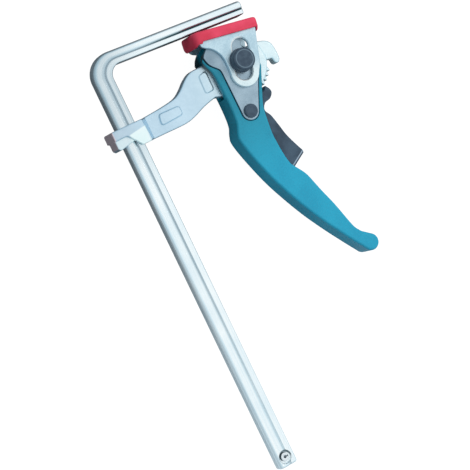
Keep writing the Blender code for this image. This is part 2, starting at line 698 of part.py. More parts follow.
def make_trigger_spring(steel):
    """Round wire swept along the path, in triangles."""
    points = spring_path()
    shape = bmesh.new()
    rings = []
    for index, point in enumerate(points):
        ahead = points[min(index + 1, len(points) - 1)] - points[max(index - 1, 0)]
        ahead.z = 0.0
        side = ahead.normalized().cross(Vector((0.0, 0.0, 1.0)))
        ring = []
        for step in range(SPRING_SIDES):
            x, z = polar(SPRING_WIRE_RADIUS, 360.0 * step / SPRING_SIDES)
            ring.append(shape.verts.new(point + side * x + Vector((0.0, 0.0, z))))
        rings.append(ring)
    for here, there in zip(rings, rings[1:]):
        for index in range(SPRING_SIDES):
            after = (index + 1) % SPRING_SIDES
            shape.faces.new((here[index], here[after], there[after]))
            shape.faces.new((here[index], there[after], there[index]))
    shape.faces.new(rings[0])
    shape.faces.new(rings[-1])
    spring = add_object("trigger_spring", mesh_from_bmesh("trigger_spring", shape), steel)
    spring.location = (PIVOT_X + RIVET_X, PIVOT_Y + RIVET_Y, 0.0)
    return spring


# Shoe: a folded steel channel on the pivot, with a slip-on pad
def shoe_outline():
    """One cheek, drawn with the pad face level and the pivot at the origin."""
    top = SHOE_WEB_UNDER + SHEET_THICKNESS
    outline = [(SHOE_LEFT, top)]
    outline += in_mm((-22.0, 17.4), (-21.4, 14.4), (-19.6, 12.9), (-16.0, 11.6), (-13.0, 9.2),
                     (-10.9, 6.4), (-9.6, 3.2), (-8.9, -0.6), (-8.6, -4.4))
    outline += arc((0.5 * MM, -7.0 * MM), 9.0 * MM, 176.0, 345.0, 12)
    outline += in_mm((10.6, -6.4), (11.9, -2.8), (13.3, 5.6), (15.2, 15.0))
    outline += [(SHOE_RIGHT, top)]
    return outline


def slot_outline():
    lean = math.radians(SLOT_LEAN_DEG)
    along = Vector((math.sin(lean), math.cos(lean)))
    across = Vector((math.cos(lean), -math.sin(lean)))
    high = along * SLOT_ABOVE + across * SLOT_OFFSET
    low = along * -SLOT_BELOW + across * SLOT_OFFSET
    turn = -SLOT_LEAN_DEG
    outline = arc(tuple(high), SLOT_HALF_WIDTH, turn, turn + 180.0, 10)
    outline += arc(tuple(low), SLOT_HALF_WIDTH, turn + 180.0, turn + 360.0, 10)
    return outline


def tilt_shoe(piece):
    piece.location = (PIVOT_X, PIVOT_Y, 0.0)
    piece.rotation_euler = (0.0, 0.0, math.radians(-SHOE_TILT_DEG))


def make_shoe(zinc):
    shoe = prism("shoe", shoe_outline(), -CHEEK_OUTER, CHEEK_OUTER, zinc)
    soften(shoe, 0.5 * MM, 1)
    inside = box_between("shoe inside", (-BAR_LENGTH / 4, -BAR_LENGTH / 4, -CHEEK_INNER),
                         (BAR_LENGTH / 4, SHOE_WEB_UNDER, CHEEK_INNER))
    slot = prism("shoe slot", slot_outline(), -2 * CHEEK_OUTER, 2 * CHEEK_OUTER)
    for piece in (shoe, inside, slot):
        tilt_shoe(piece)
    cut(shoe, inside)
    cut(shoe, slot)
    return shoe


def make_pad(rubber):
    """A cap with flanges over the cheeks and deeper tabs over the web's two ends."""
    web_top = SHOE_WEB_UNDER + SHEET_THICKNESS
    top = web_top + GAP + PAD_TOP
    left = SHOE_LEFT - GAP - PAD_LEFT_WALL
    right = SHOE_RIGHT + GAP + PAD_WALL
    half = CHEEK_OUTER + GAP + PAD_WALL
    # drawn in plan as (x, z), then turned up so that it is extruded along y
    plan = []
    centers = ((right - PAD_CORNER, half - PAD_CORNER), (left + PAD_CORNER, half - PAD_CORNER),
               (left + PAD_CORNER, PAD_CORNER - half), (right - PAD_CORNER, PAD_CORNER - half))
    for index, center in enumerate(centers):
        plan += arc(center, PAD_CORNER, 90.0 * index, 90.0 * index + 90.0, 5)
    pad = prism("pad", plan, top - PAD_END_WALL, top, rubber)
    pad.data.transform(Matrix(((1, 0, 0, 0), (0, 0, 1, 0), (0, -1, 0, 0), (0, 0, 0, 1))))
    soften(pad, PAD_EDGE_ROUND, 3, 60.0)
    inside = box_between("pad inside", (SHOE_LEFT - GAP, -BAR_WIDTH, -CHEEK_OUTER - GAP),
                         (SHOE_RIGHT + GAP, web_top + GAP, CHEEK_OUTER + GAP))
    parts = [pad, inside]
    for side, name in ((1, "front"), (-1, "back")):
        low, high = sorted((side * PAD_TAB_HALF, side * 2.0 * half))
        parts.append(box_between("pad flange edge " + name, (2.0 * left, -BAR_WIDTH, low),
                                 (2.0 * right, top - PAD_FLANGE, high)))
    for piece in parts:
        tilt_shoe(piece)
    for tool in parts[1:]:
        cut(pad, tool)
    return pad


def build():
    remove_old_objects()
    bright = make_material("bright zinc", (0.62, 0.67, 0.72), 0.32, 0.85)
    plain = make_material("plain steel", (0.42, 0.45, 0.48), 0.4, 0.85)
    zinc = make_material("zinc sheet", (0.56, 0.62, 0.67), 0.38, 0.8)
    black = make_material("black oxide", (0.03, 0.04, 0.06), 0.45, 0.3)
    teal = make_material("teal paint", (0.02, 0.29, 0.42), 0.4, 0.0)
    red = make_material("red pad", (0.75, 0.05, 0.12), 0.55, 0.0)
    bronze = make_material("bush bronze", (0.5, 0.33, 0.14), 0.4, 0.9)

    make_bar(bright)
    make_stop_pin(plain)
    make_slider(bright)
    make_bush(bronze)
    make_screw(black)
    make_washer(plain)
    make_nut(plain)
    make_lever(teal)
    make_cam_plate("cam_plate_front", 1, plain)
    make_cam_plate("cam_plate_back", -1, plain)
    make_rivet(black)
    make_trigger(black)
    make_trigger_spring(plain)
    make_shoe(zinc)
    make_pad(red)


build()
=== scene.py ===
import math

import bmesh
import bpy
from mathutils import Matrix, Vector


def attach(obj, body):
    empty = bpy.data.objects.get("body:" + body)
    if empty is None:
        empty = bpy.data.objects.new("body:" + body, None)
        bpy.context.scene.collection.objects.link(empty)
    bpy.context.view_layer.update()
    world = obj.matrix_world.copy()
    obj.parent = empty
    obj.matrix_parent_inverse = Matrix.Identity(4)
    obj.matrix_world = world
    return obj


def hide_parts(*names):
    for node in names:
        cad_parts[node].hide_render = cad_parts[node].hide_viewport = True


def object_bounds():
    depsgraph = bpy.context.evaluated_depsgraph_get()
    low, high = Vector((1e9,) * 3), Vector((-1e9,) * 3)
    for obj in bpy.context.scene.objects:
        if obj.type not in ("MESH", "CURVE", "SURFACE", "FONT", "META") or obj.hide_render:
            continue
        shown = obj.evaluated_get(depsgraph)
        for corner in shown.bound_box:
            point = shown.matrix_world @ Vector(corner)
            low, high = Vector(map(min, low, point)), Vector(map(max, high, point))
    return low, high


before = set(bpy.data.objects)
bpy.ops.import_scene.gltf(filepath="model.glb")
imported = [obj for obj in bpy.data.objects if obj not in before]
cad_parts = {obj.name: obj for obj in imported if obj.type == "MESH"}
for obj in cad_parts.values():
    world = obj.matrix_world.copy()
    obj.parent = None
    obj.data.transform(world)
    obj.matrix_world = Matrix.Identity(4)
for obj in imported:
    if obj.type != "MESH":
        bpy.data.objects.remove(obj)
cad_low, cad_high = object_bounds()
bpy.context.scene.view_settings.view_transform = "Standard"

MM = 0.001

# Camera: above the clamp, a little to the bar's side, as in the photograph.
camera_data = bpy.data.cameras.new("camera")
camera_data.lens = 132.55
camera_data.sensor_width = 36.0
camera = bpy.data.objects.new("camera", camera_data)
bpy.context.scene.collection.objects.link(camera)
camera_place = Vector((-327.88, 201.11, 955.99)) * MM
look_at = Vector((33.16, 135.4, 0.0)) * MM
image_up = Vector((0.45865, 0.88862, 0.0))
look = (look_at - camera_place).normalized()
sideways = look.cross(image_up).normalized()
upright = sideways.cross(look)
camera.matrix_world = Matrix.Translation(camera_place) @ Matrix((
    (sideways.x, upright.x, -look.x, 0.0),
    (sideways.y, upright.y, -look.y, 0.0),
    (sideways.z, upright.z, -look.z, 0.0),
    (0.0, 0.0, 0.0, 1.0),
))
camera_data.clip_start = 0.05
camera_data.clip_end = 20.0
bpy.context.scene.camera = camera


# Shader maths: a Wire is a socket that can be added, multiplied and mixed.
class Wire:
    def __init__(self, socket):
        self.socket = socket
        self.tree = socket.id_data

    def node(self, kind, settings=None, inputs=None, output=0):
        made = self.tree.nodes.new(kind)
        for name, value in (settings or {}).items():
            if name == "stops":
                ramp = made.color_ramp
                while len(ramp.elements) < len(value):
                    ramp.elements.new(0.5)
                for element, (place, color) in zip(ramp.elements, value):
                    element.position = place
                    element.color = color
            else:
                setattr(made, name, value)
        for name, value in (inputs or {}).items():
            if isinstance(value, Wire):
                self.tree.links.new(value.socket, made.inputs[name])
            else:
                made.inputs[name].default_value = value
        return Wire(made.outputs[output])

    def math(self, operation, other=0.0):
        return self.node("ShaderNodeMath", {"operation": operation}, {0: self, 1: other})

    def __add__(self, other):
        return self.math("ADD", other)

    __radd__ = __add__

    def __sub__(self, other):
        return self.math("SUBTRACT", other)

    def __rsub__(self, other):
        return self.node("ShaderNodeMath", {"operation": "SUBTRACT"}, {0: other, 1: self})

    def __mul__(self, other):
        return self.math("MULTIPLY", other)

    __rmul__ = __mul__

    def between(self, low, high):
        """0 below low, 1 above high and smooth in between."""
        return self.node("ShaderNodeMapRange", {"interpolation_type": "SMOOTHSTEP"},
                         {"Value": self, "From Min": low, "From Max": high})

    def mix(self, zero, one):
        """A colour from zero to one, by this value."""
        inputs = {0: self}
        for index, color in ((6, zero), (7, one)):
            inputs[index] = color if isinstance(color, Wire) else (*color, 1.0)
        return self.node("ShaderNodeMix", {"data_type": "RGBA"}, inputs, 2)

    def noise(self, scale, detail=2.0, stretch=(1.0, 1.0, 1.0)):
        """Noise at this many cells a metre; this wire is a position."""
        place = self.node("ShaderNodeMapping", None, {"Vector": self, "Scale": stretch})
        return self.node("ShaderNodeTexNoise", None,
                         {"Vector": place, "Scale": scale, "Detail": detail})

    def axis(self, name):
        return self.node("ShaderNodeSeparateXYZ", None, {0: self}, name)

    def far_from(self, x, y):
        """How far this position is from the upright line at x and y."""
        across = self.axis("X") - x
        along = self.axis("Y") - y
        return (across * across + along * along).math("SQRT")


# Floor and light: a white sweep under a soft sky that is brightest above the lever's side,
# with one round lamp on that side. The camera sees the floor nearly white. The steel mirrors
# it darker, and darkest at the jaw, for the contrast that the photograph has.
floor_half = 6.0
floor_gap = 0.5 * MM
floor_mesh = bpy.data.meshes.new("floor")
floor_mesh.from_pydata([(-floor_half, -floor_half, 0), (floor_half, -floor_half, 0),
                        (floor_half, floor_half, 0), (-floor_half, floor_half, 0)],
                       [], [(0, 1, 2, 3)])
floor = bpy.data.objects.new("floor", floor_mesh)
floor_mesh.transform(Matrix.Translation((0.0, 0.0, cad_low.z - floor_gap)))
bpy.context.scene.collection.objects.link(floor)
floor_paper = bpy.data.materials.new("floor paper")
floor_paper.use_nodes = True
paper_nodes = floor_paper.node_tree.nodes
paper_links = floor_paper.node_tree.links
paper_shader = paper_nodes["Principled BSDF"]
paper_shader.inputs["Roughness"].default_value = 0.9
paper_shader.inputs["Specular IOR Level"].default_value = 0.0
paper_path = paper_nodes.new("ShaderNodeLightPath")
seen = Wire(paper_path.outputs["Is Camera Ray"])
mirrored = Wire(paper_path.outputs["Is Glossy Ray"])
paper_place = Wire(paper_nodes.new("ShaderNodeTexCoord").outputs["Object"])
paper_mirrored = paper_place.axis("Y").between(-0.02, 0.22).mix(
    (0.62, 0.65, 0.67), (0.17, 0.18, 0.19))
paper_color = mirrored.mix((0.2, 0.21, 0.22), paper_mirrored)
paper_links.new(seen.mix(paper_color, (0.9, 0.9, 0.9)).socket, paper_shader.inputs["Base Color"])
paper_glow = paper_nodes.new("ShaderNodeEmission")
paper_glow.inputs["Strength"].default_value = 1.12
paper_mix = paper_nodes.new("ShaderNodeMixShader")
paper_links.new((seen * 0.86).socket, paper_mix.inputs[0])
paper_links.new(paper_shader.outputs[0], paper_mix.inputs[1])
paper_links.new(paper_glow.outputs[0], paper_mix.inputs[2])
paper_links.new(paper_mix.outputs[0], paper_nodes["Material Output"].inputs["Surface"])
floor_mesh.materials.append(floor_paper)

sky = bpy.data.worlds.new("studio")
bpy.context.scene.world = sky
sky.use_nodes = True
sky_nodes = sky.node_tree.nodes
sky_place = Wire(sky_nodes.new("ShaderNodeTexCoord").outputs["Generated"])
sky_path = sky_nodes.new("ShaderNodeLightPath")
toward_light = Vector((0.38, 0.0, 0.92)).normalized()
sky_side = sky_place.node("ShaderNodeVectorMath", {"operation": "DOT_PRODUCT"},
                          {0: sky_place, 1: toward_light}, "Value")
sky_ramp = sky_side.node("ShaderNodeValToRGB", {"stops": (
    (0.0, (0.5, 0.57, 0.61, 1.0)), (0.45, (0.56, 0.65, 0.7, 1.0)),
    (0.9, (0.82, 0.92, 0.97, 1.0)), (1.0, (1.0, 1.0, 1.0, 1.0)))},
                         {"Fac": sky_side.between(-0.3, 1.0)})
sky_color = Wire(sky_path.outputs["Is Camera Ray"]).mix(sky_ramp, (1.0, 1.0, 1.0))
sky.node_tree.links.new(sky_color.socket, sky_nodes["Background"].inputs["Color"])

clamp_middle = Vector((0.04, 0.14, 0.0))
lamp_data = bpy.data.lights.new("key lamp", "AREA")
lamp_data.shape = "DISK"
lamp_data.size = 0.7
lamp_data.energy = 11.0
lamp = bpy.data.objects.new("key lamp", lamp_data)
lamp.location = (1.2, 0.45, 1.2)
lamp.rotation_euler = (clamp_middle - lamp.location).to_track_quat("-Z", "Y").to_euler()
lamp.visible_glossy = False
bpy.context.scene.collection.objects.link(lamp)


# Bar: one length of drawn steel with a groove down both faces, zinc plated, bent once to
# make the fixed jaw, whose clamping face is cross-cut. A rolled pin sits in its free end.
BAR_LENGTH = 255.3 * MM
BAR_WIDTH = 12.0 * MM
BAR_HALF = BAR_WIDTH / 2.0
BAR_THICKNESS = 9.0 * MM
BEND_OUTER = 14.0 * MM
BEND_INNER = 7.0 * MM
BEND_STEPS = 28
JAW_LEAN = math.radians(2.74)
JAW_FACE_START = Vector((19.7 * MM, BAR_LENGTH))
JAW_HEIGHT = 8.7 * MM
JAW_REACH = 98.0 * MM
JAW_DEEPER = 11.6 * MM / BAR_THICKNESS
END_ROUND = 1.4 * MM
END_STEPS = 5
PIN_AT = (0.0, 5.9 * MM)
PIN_HOLE = 2.8 * MM
PIN_RECESS = 4.0 * MM


def new_finish(name, color, roughness, metallic):
    """A material, its main shader and the object's own coordinates as a Wire."""
    made = bpy.data.materials.new(name)
    made.use_nodes = True
    shader = made.node_tree.nodes["Principled BSDF"]
    shader.inputs["Base Color"].default_value = (*color, 1.0)
    shader.inputs["Roughness"].default_value = roughness
    shader.inputs["Metallic"].default_value = metallic
    place = Wire(made.node_tree.nodes.new("ShaderNodeTexCoord").outputs["Object"])
    return made, shader, place


def feed(shader, name, wire):
    shader.id_data.links.new(wire.socket, shader.inputs[name])


def bump(shader, height, strength, distance):
    made = height.node("ShaderNodeBump", None,
                       {"Height": height, "Strength": strength, "Distance": distance})
    feed(shader, "Normal", made)


def add_piece(name, shape, finish, smooth_angle=32.0):
    """An object at the origin from a bmesh in the row frame, faces out."""
    bmesh.ops.remove_doubles(shape, verts=shape.verts, dist=1e-6)
    bmesh.ops.recalc_face_normals(shape, faces=shape.faces)
    mesh = bpy.data.meshes.new(name)
    shape.to_mesh(mesh)
    shape.free()
    piece = bpy.data.objects.new(name, mesh)
    bpy.context.scene.collection.objects.link(piece)
    if finish is not None:
        mesh.materials.append(finish)
    mesh.shade_smooth()
    mesh.set_sharp_from_angle(angle=math.radians(smooth_angle))
    return piece


def settle(piece, smooth_angle=32.0):
    """Turns a piece's modifiers into plain mesh and evens out its shading."""
    graph = bpy.context.evaluated_depsgraph_get()
    mesh = bpy.data.meshes.new_from_object(piece.evaluated_get(graph), depsgraph=graph)
    piece.modifiers.clear()
    old = piece.data
    piece.data = mesh
    mesh.name = piece.name
    bpy.data.meshes.remove(old)
    mesh.shade_smooth()
    mesh.set_sharp_from_angle(angle=math.radians(smooth_angle))
    even = piece.modifiers.new("even shading", "WEIGHTED_NORMAL")
    even.keep_sharp = True
    even.weight = 90
    return piece


def carve(piece, *cutters, operation="DIFFERENCE"):
    for cutter in cutters:
        change = piece.modifiers.new(cutter.name, "BOOLEAN")
        change.operation = operation
        change.solver = "EXACT"
        change.object = cutter
    settle(piece)
    for cutter in cutters:
        bpy.data.objects.remove(cutter)
    return piece


def dress(piece, body, node):
    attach(piece, body)
    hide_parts(node)
    return piece


def polar(radius, degrees):
    angle = math.radians(degrees)
    return Vector((radius * math.cos(angle), radius * math.sin(angle)))


def arc(center, radius, start, end, steps):
    return [Vector(center) + polar(radius, start + (end - start) * step / steps)
            for step in range(steps + 1)]


def bar_section():
    """The section in mm as (across, up), over the upper face and back under the lower one."""
    upper = [Vector((-5.97, 1.2))]
    upper += arc((-3.17, 1.7), 2.8, 180.0, 90.0, 9)
    upper += [Vector(point) for point in ((-1.8, 4.5), (-0.9, 4.44), (-0.2, 4.32), (0.4, 4.14),
                                          (0.9, 3.92), (1.3, 3.68), (1.55, 3.55), (1.8, 3.55),
                                          (1.9, 3.85), (2.02, 4.04), (2.3, 4.07), (4.9, 4.03))]
    upper += arc((5.05, 3.05), 0.95, 80.0, 0.0, 5)
    lower = [Vector((point.x, -point.y)) for point in reversed(upper)]
    return upper + lower


def bar_stations():
    """(outer point, inner point, depth factor, inset) along the bar and its jaw."""
    along = Vector((math.cos(JAW_LEAN), -math.sin(JAW_LEAN)))
    across = Vector((math.sin(JAW_LEAN), math.cos(JAW_LEAN)))
    sweep = 90.0 + math.degrees(JAW_LEAN)
    centers = []
    for radius, edge, line in ((BEND_OUTER, -BAR_HALF, JAW_FACE_START + across * JAW_HEIGHT),
                               (BEND_INNER, BAR_HALF, JAW_FACE_START)):
        center_x = edge + radius
        shift = (center_x + radius * across.x - line.x) / along.x
        center = line + along * shift - across * radius
        centers.append((Vector((center_x, center.y)), radius))
    (outer_center, outer_radius), (inner_center, inner_radius) = centers
    rows = []
    for step in range(END_STEPS + 1):
        angle = math.radians(90.0 * step / END_STEPS)
        inset = END_ROUND * (1.0 - math.sin(angle))
        y = END_ROUND * (1.0 - math.cos(angle))
        rows.append((Vector((-BAR_HALF, y)), Vector((BAR_HALF, y)), 1.0, inset))
    straight = min(outer_center.y, inner_center.y) - 2.0 * BAR_HALF
    for share in (0.25, 0.5, 0.75, 1.0):
        y = straight * share
        rows.append((Vector((-BAR_HALF, y)), Vector((BAR_HALF, y)), 1.0, 0.0))
    for step in range(BEND_STEPS + 1):
        angle = 180.0 - sweep * step / BEND_STEPS
        outer = outer_center + polar(outer_radius, angle)
        inner = inner_center + polar(inner_radius, angle)
        rows.append((outer, inner, 1.0 + (JAW_DEEPER - 1.0) * step / BEND_STEPS, 0.0))
    tip = JAW_FACE_START + along * ((JAW_REACH - JAW_FACE_START.x) / along.x)
    for step in range(END_STEPS + 1):
        angle = math.radians(90.0 * step / END_STEPS)
        inset = END_ROUND * (1.0 - math.cos(angle))
        inner = tip - along * (END_ROUND * (1.0 - math.sin(angle)))
        rows.append((inner + across * JAW_HEIGHT, inner, JAW_DEEPER, inset))
    return rows


def loft(rings):
    """A closed skin through rings of equal length, with flat ends. Its UV map holds metres
    round a ring and metres along the rings."""
    shape = bmesh.new()
    spread = shape.loops.layers.uv.new("spread")
    rows = [[shape.verts.new(point) for point in ring] for ring in rings]
    count = len(rows[0])
    round_at = [0.0]
    for index in range(count):
        middle = rows[len(rows) // 2]
        step = (middle[(index + 1) % count].co - middle[index].co).length
        round_at.append(round_at[-1] + step)
    along = 0.0
    for here, there in zip(rows, rows[1:]):
        step = (there[0].co - here[0].co).length
        for index in range(count):
            after = (index + 1) % count
            face = shape.faces.new((here[index], here[after], there[after], there[index]))
            corners = ((round_at[index], along), (round_at[index + 1], along),
                       (round_at[index + 1], along + step), (round_at[index], along + step))
            for corner, place in zip(face.loops, corners):
                corner[spread].uv = place
        along += step
    shape.faces.new(rows[0])
    shape.faces.new(rows[-1])
    return shape


def round_bar(name, radius, at, low, high, sides=48):
    """A plain round cutter that stands along z, from low to high."""
    circle = arc((0, 0), radius, 0.0, 360.0 - 360.0 / sides, sides - 1)
    rings = [[(at[0] + point.x, at[1] + point.y, z) for point in circle] for z in (low, high)]
    return add_piece(name, loft(rings), None)


def grow(name, sizes, finish, build):
    """A piece made with Geometry Nodes; build turns one Wire a size into its geometry."""
    tree = bpy.data.node_groups.new(name, "GeometryNodeTree")
    tree.interface.new_socket("Geometry", in_out="OUTPUT", socket_type="NodeSocketGeometry")
    for title, value in sizes.items():
        kind = "NodeSocketInt" if isinstance(value, int) else "NodeSocketFloat"
        tree.interface.new_socket(title, in_out="INPUT", socket_type=kind)
    given = tree.nodes.new("NodeGroupInput")
    made = build(*[Wire(given.outputs[title]) for title in sizes])
    made = made.node("GeometryNodeRealizeInstances", None, {"Geometry": made})
    made = made.node("GeometryNodeSetMaterial", None, {"Geometry": made, "Material": finish})
    result = tree.nodes.new("NodeGroupOutput")
    tree.links.new(made.socket, result.inputs["Geometry"])
    piece = bpy.data.objects.new(name, bpy.data.meshes.new(name))
    bpy.context.scene.collection.objects.link(piece)
    change = piece.modifiers.new(name, "NODES")
    change.node_group = tree
    for item in tree.interface.items_tree:
        if item.in_out == "INPUT":
            change[item.identifier] = sizes[item.name]
    return settle(piece)


drawn_zinc, shader, place = new_finish("drawn zinc plate", (0.8, 0.92, 0.97), 0.2, 0.95)
spread = Wire(drawn_zinc.node_tree.nodes.new("ShaderNodeUVMap").outputs["UV"])
cloud = place.noise(55.0, 3.0)
streak = spread.noise(1600.0, 3.0, (1.0, 0.012, 1.0))
band = spread.noise(330.0, 2.0, (1.0, 0.02, 1.0))
speck = place.noise(1400.0, 2.0)
tone = (cloud * 0.3 + streak * 0.3 + band * 0.4).between(0.35, 0.65)
feed(shader, "Roughness", streak * 0.12 + cloud * 0.1 + 0.12)
bump(shader, streak * 0.7 + speck * 0.3, 0.12, 0.0001)

rings = []
for outer, inner, deeper, inset in bar_stations():
    width = (inner - outer).length
    shrink = 1.0 - 2.0 * inset / width
    flatten = 1.0 - 2.0 * inset / (BAR_THICKNESS * deeper)
    middle = (outer + inner) / 2.0
    ring = []
    for point in bar_section():
        spot = middle + (inner - outer) * (point.x * MM / BAR_WIDTH) * shrink
        ring.append((spot.x, spot.y, point.y * MM * deeper * flatten))
    rings.append(ring)

# Painted shade darkens the plate in the groove of both faces, most at the jaw, where the bar
# was bent and on the wall that faces the pad; a painted shadow lies in one side of the pin's recess.
middle_ring = [Vector(point) for point in rings[len(rings) // 2]]
groove_point = 17
painted_groove_shade = 0.0
for index in (groove_point, len(middle_ring) - 1 - groove_point):
    groove_at = sum((middle_ring[step + 1] - middle_ring[step]).length for step in range(index))
    away = spread.axis("X") - groove_at
    if index != groove_point:
        away = away * -1.0
    painted_groove_shade = away.between(-2.6 * MM, -0.1 * MM) * (1.0 - away.between(0.5 * MM, 1.0 * MM)) + painted_groove_shade
# Painted shade: the bar is painted greyer where it was bent.
bend_shade = place.axis("Y").between(0.175, 0.235) * (1.0 - place.axis("X").between(0.002, 0.03))
plated = tone.mix((0.74, 0.87, 0.93), (0.92, 0.98, 0.99))
plated = (bend_shade * 0.8).mix(plated, tone.mix((0.4, 0.52, 0.58), (0.62, 0.72, 0.77)))
painted_groove_shade = painted_groove_shade * (place.axis("Y").between(0.03, 0.17) * 0.5
               + place.axis("X").between(0.02, 0.05) * 0.2 + 0.25)
plated = painted_groove_shade.mix(plated, place.axis("X").between(0.02, 0.06).mix(
    (0.42, 0.50, 0.55), (0.06, 0.16, 0.19)))
# Painted shade on the jaw's wall that faces the pad.
facing = place.node("ShaderNodeNewGeometry", output="Normal").axis("Y")
pad_side_shade = (1.0 - facing.between(-0.85, -0.3)) * place.axis("X").between(0.03, 0.05)
plated = pad_side_shade.mix(plated, (0.04, 0.12, 0.14))
# A painted shadow in one side of the pin's recess.
recess_shadow = (place.far_from(0.35 * MM, 4.8 * MM).between(3.3 * MM, 3.9 * MM)
         * (1.0 - place.far_from(*PIN_AT).between(PIN_RECESS, PIN_RECESS + 0.25 * MM)))
feed(shader, "Base Color", recess_shadow.mix(plated, (0.16, 0.22, 0.25)))
bar = add_piece("bar_drawn", loft(rings), drawn_zinc, 40.0)


def comb(count, pitch, length):
    """A row of three-sided teeth, stood on edge, that cut V grooves."""
    step = count.node("ShaderNodeCombineXYZ", None, {"X": pitch})
    row = count.node("GeometryNodeMeshLine", None, {"Count": count, "Offset": step})
    tooth = count.node("GeometryNodeMeshCylinder", None,
                       {"Vertices": 3, "Radius": 0.7 * MM, "Depth": length})
    return row.node("GeometryNodeInstanceOnPoints", None,
                    {"Points": row, "Instance": tooth, "Scale": (1.6, 1.0, 1.0),
                     "Rotation": (0.0, 0.0, math.radians(90.0))})


serrations = grow("serrations", {"Count": 22, "Pitch": 1.9 * MM, "Length": 24.0 * MM},
                  drawn_zinc, comb)
first_groove = 53.0 * MM
face_falls = (first_groove - JAW_FACE_START.x) * math.tan(JAW_LEAN)
serrations.data.transform(Matrix.Translation((first_groove, BAR_LENGTH - face_falls, 0.0))
                          @ Matrix.Rotation(-JAW_LEAN, 4, "Z")
                          @ Matrix.Translation((0.0, -0.25 * MM, 0.0)))
carve(bar, round_bar("pin hole", PIN_HOLE, PIN_AT, -BAR_THICKNESS, BAR_THICKNESS),
      round_bar("pin recess", PIN_RECESS, PIN_AT, 2.1 * MM, BAR_THICKNESS), serrations)
dress(bar, "rail", "bar")


# Pivot and rivet: the two turned pins that hold the head together. Most pieces are outlines
# drawn from the pivot's centre and made thick, so their helpers stand here too.
PIVOT = Vector((80.0 * MM, BAR_LENGTH - 28.45 * MM))
RIVET = Vector((-7.2 * MM, -29.3 * MM))


def inset_outline(points, inset):
    """The closed outline moved inwards; it runs either way round."""
    count = len(points)
    area = sum(points[index - 1].cross(points[index]) for index in range(count))
    side = 1.0 if area > 0 else -1.0
    moved = []
    for index, corner in enumerate(points):
        into = (corner - points[index - 1]).normalized()
        out = (points[(index + 1) % count] - corner).normalized()
        normal_in = Vector((-into.y, into.x)) * side
        normal_out = Vector((-out.y, out.x)) * side
        bisector = normal_in + normal_out
        if bisector.length < 1e-6:
            moved.append(corner.copy())
            continue
        bisector.normalize()
        moved.append(corner + bisector * (inset / max(bisector.dot(normal_in), 0.45)))
    return moved


def tidy(points, closest=0.05 * MM):
    """Drops points that nearly repeat the one before."""
    kept = []
    for point in points:
        if not kept or (point - kept[-1]).length > closest:
            kept.append(point)
    if (kept[0] - kept[-1]).length <= closest:
        kept.pop()
    return kept


def rim(edge, level, steps):
    """(inset, height) up a rounded lower rim; a negative edge rounds an upper one."""
    rows = []
    for step in range(steps + 1):
        angle = math.radians(90.0 * step / steps)
        rows.append((abs(edge) * (1 - math.sin(angle)), level + edge * (1 - math.cos(angle))))
    return rows if edge > 0.0 else rows[::-1]


def slab(name, outline, low, high, edge=0.0, finish=None, at=PIVOT, turn=0.0, steps=4):
    """An outline made thick from low to high, its rims rounded by edge."""
    outline = tidy(outline)
    levels = [(0.0, low), (0.0, high)]
    if edge > 0.0:
        levels = rim(edge, low, steps) + rim(-edge, high, steps)
    spin = Matrix.Rotation(turn, 2)
    rings = []
    for inset, z in levels:
        ring = []
        for point in inset_outline(outline, inset):
            spot = spin @ point + Vector(at)
            ring.append((spot.x, spot.y, z))
        rings.append(ring)
    return add_piece(name, loft(rings), finish)


# Stop pin: a spring-steel strip rolled into a tube with a slit. It is driven into the bar's
# free end and keeps the sliding jaw from coming off.
spring_steel, shader, place = new_finish("spring steel", (0.8, 0.86, 0.9), 0.35, 0.9)
grain = place.noise(1800.0, 3.0)
feed(shader, "Base Color", grain.between(0.3, 0.7).mix((0.62, 0.68, 0.72), (0.90, 0.94, 0.96)))
feed(shader, "Roughness", grain * 0.3 + 0.2)
tube = arc((0, 0), 2.5 * MM, 15.0, 345.0, 44) + arc((0, 0), 0.9 * MM, 345.0, 15.0, 36)
stop_pin = slab("stop_pin_rolled", tube, -7.7 * MM, 4.0 * MM, 0.15 * MM, spring_steel, PIN_AT,
                steps=2)
dress(stop_pin, "rail", "bar_stop_pin")


# Sliding jaw: one steel forging, zinc plated. A square collar runs on the bar; the arm
# steps out to a round hub with saw teeth below it and a stop hook at its end.
ARM_HALF = 3.6 * MM
HUB_HALF = 4.2 * MM
TEETH_HALF = 3.0 * MM
LONG_PAD_HALF = 4.7 * MM
SHORT_PAD_HALF = 4.3 * MM
LUG_HALF = 6.2 * MM
HUB_BORE = 5.9 * MM
TEETH = 6
# In degrees round the hub.
TOOTH_PITCH = 8.4
TOOTH_START = -78.0
# In plain mm, as outlines are.
COLLAR_HALF = 8.5


def mm(*points):
    """Outline points from plain mm; a slab measures them from the pivot's centre."""
    return [Vector((x * MM, y * MM)) for x, y in points]


def flow(points, steps=5):
    """A smooth open curve through the points."""
    result = []
    for index in range(len(points) - 1):
        before = points[max(index - 1, 0)]
        here = points[index]
        there = points[index + 1]
        beyond = points[min(index + 2, len(points) - 1)]
        for step in range(steps):
            share = step / steps
            result.append(0.5 * (2 * here + (there - before) * share
                                 + (2 * before - 5 * here + 4 * there - beyond) * share ** 2
                                 + (3 * here - before - 3 * there + beyond) * share ** 3))
    result.append(points[-1])
    return result


def ease(points, radius, steps=4):
    """The closed outline with every corner rounded, less where sides are short."""
    result = []
    count = len(points)
    for index, corner in enumerate(points):
        before = points[index - 1] - corner
        after = points[(index + 1) % count] - corner
        turn = math.pi - before.angle(after)
        if turn < math.radians(5.0):
            result.append(corner)
            continue
        cut = min(radius * math.tan(turn / 2.0), 0.45 * before.length, 0.45 * after.length)
        start = corner + before.normalized() * cut
        end = corner + after.normalized() * cut
        for step in range(steps + 1):
            share = step / steps
            result.append(start * (1 - share) ** 2 + corner * 2 * share * (1 - share)
                          + end * share ** 2)
    return result


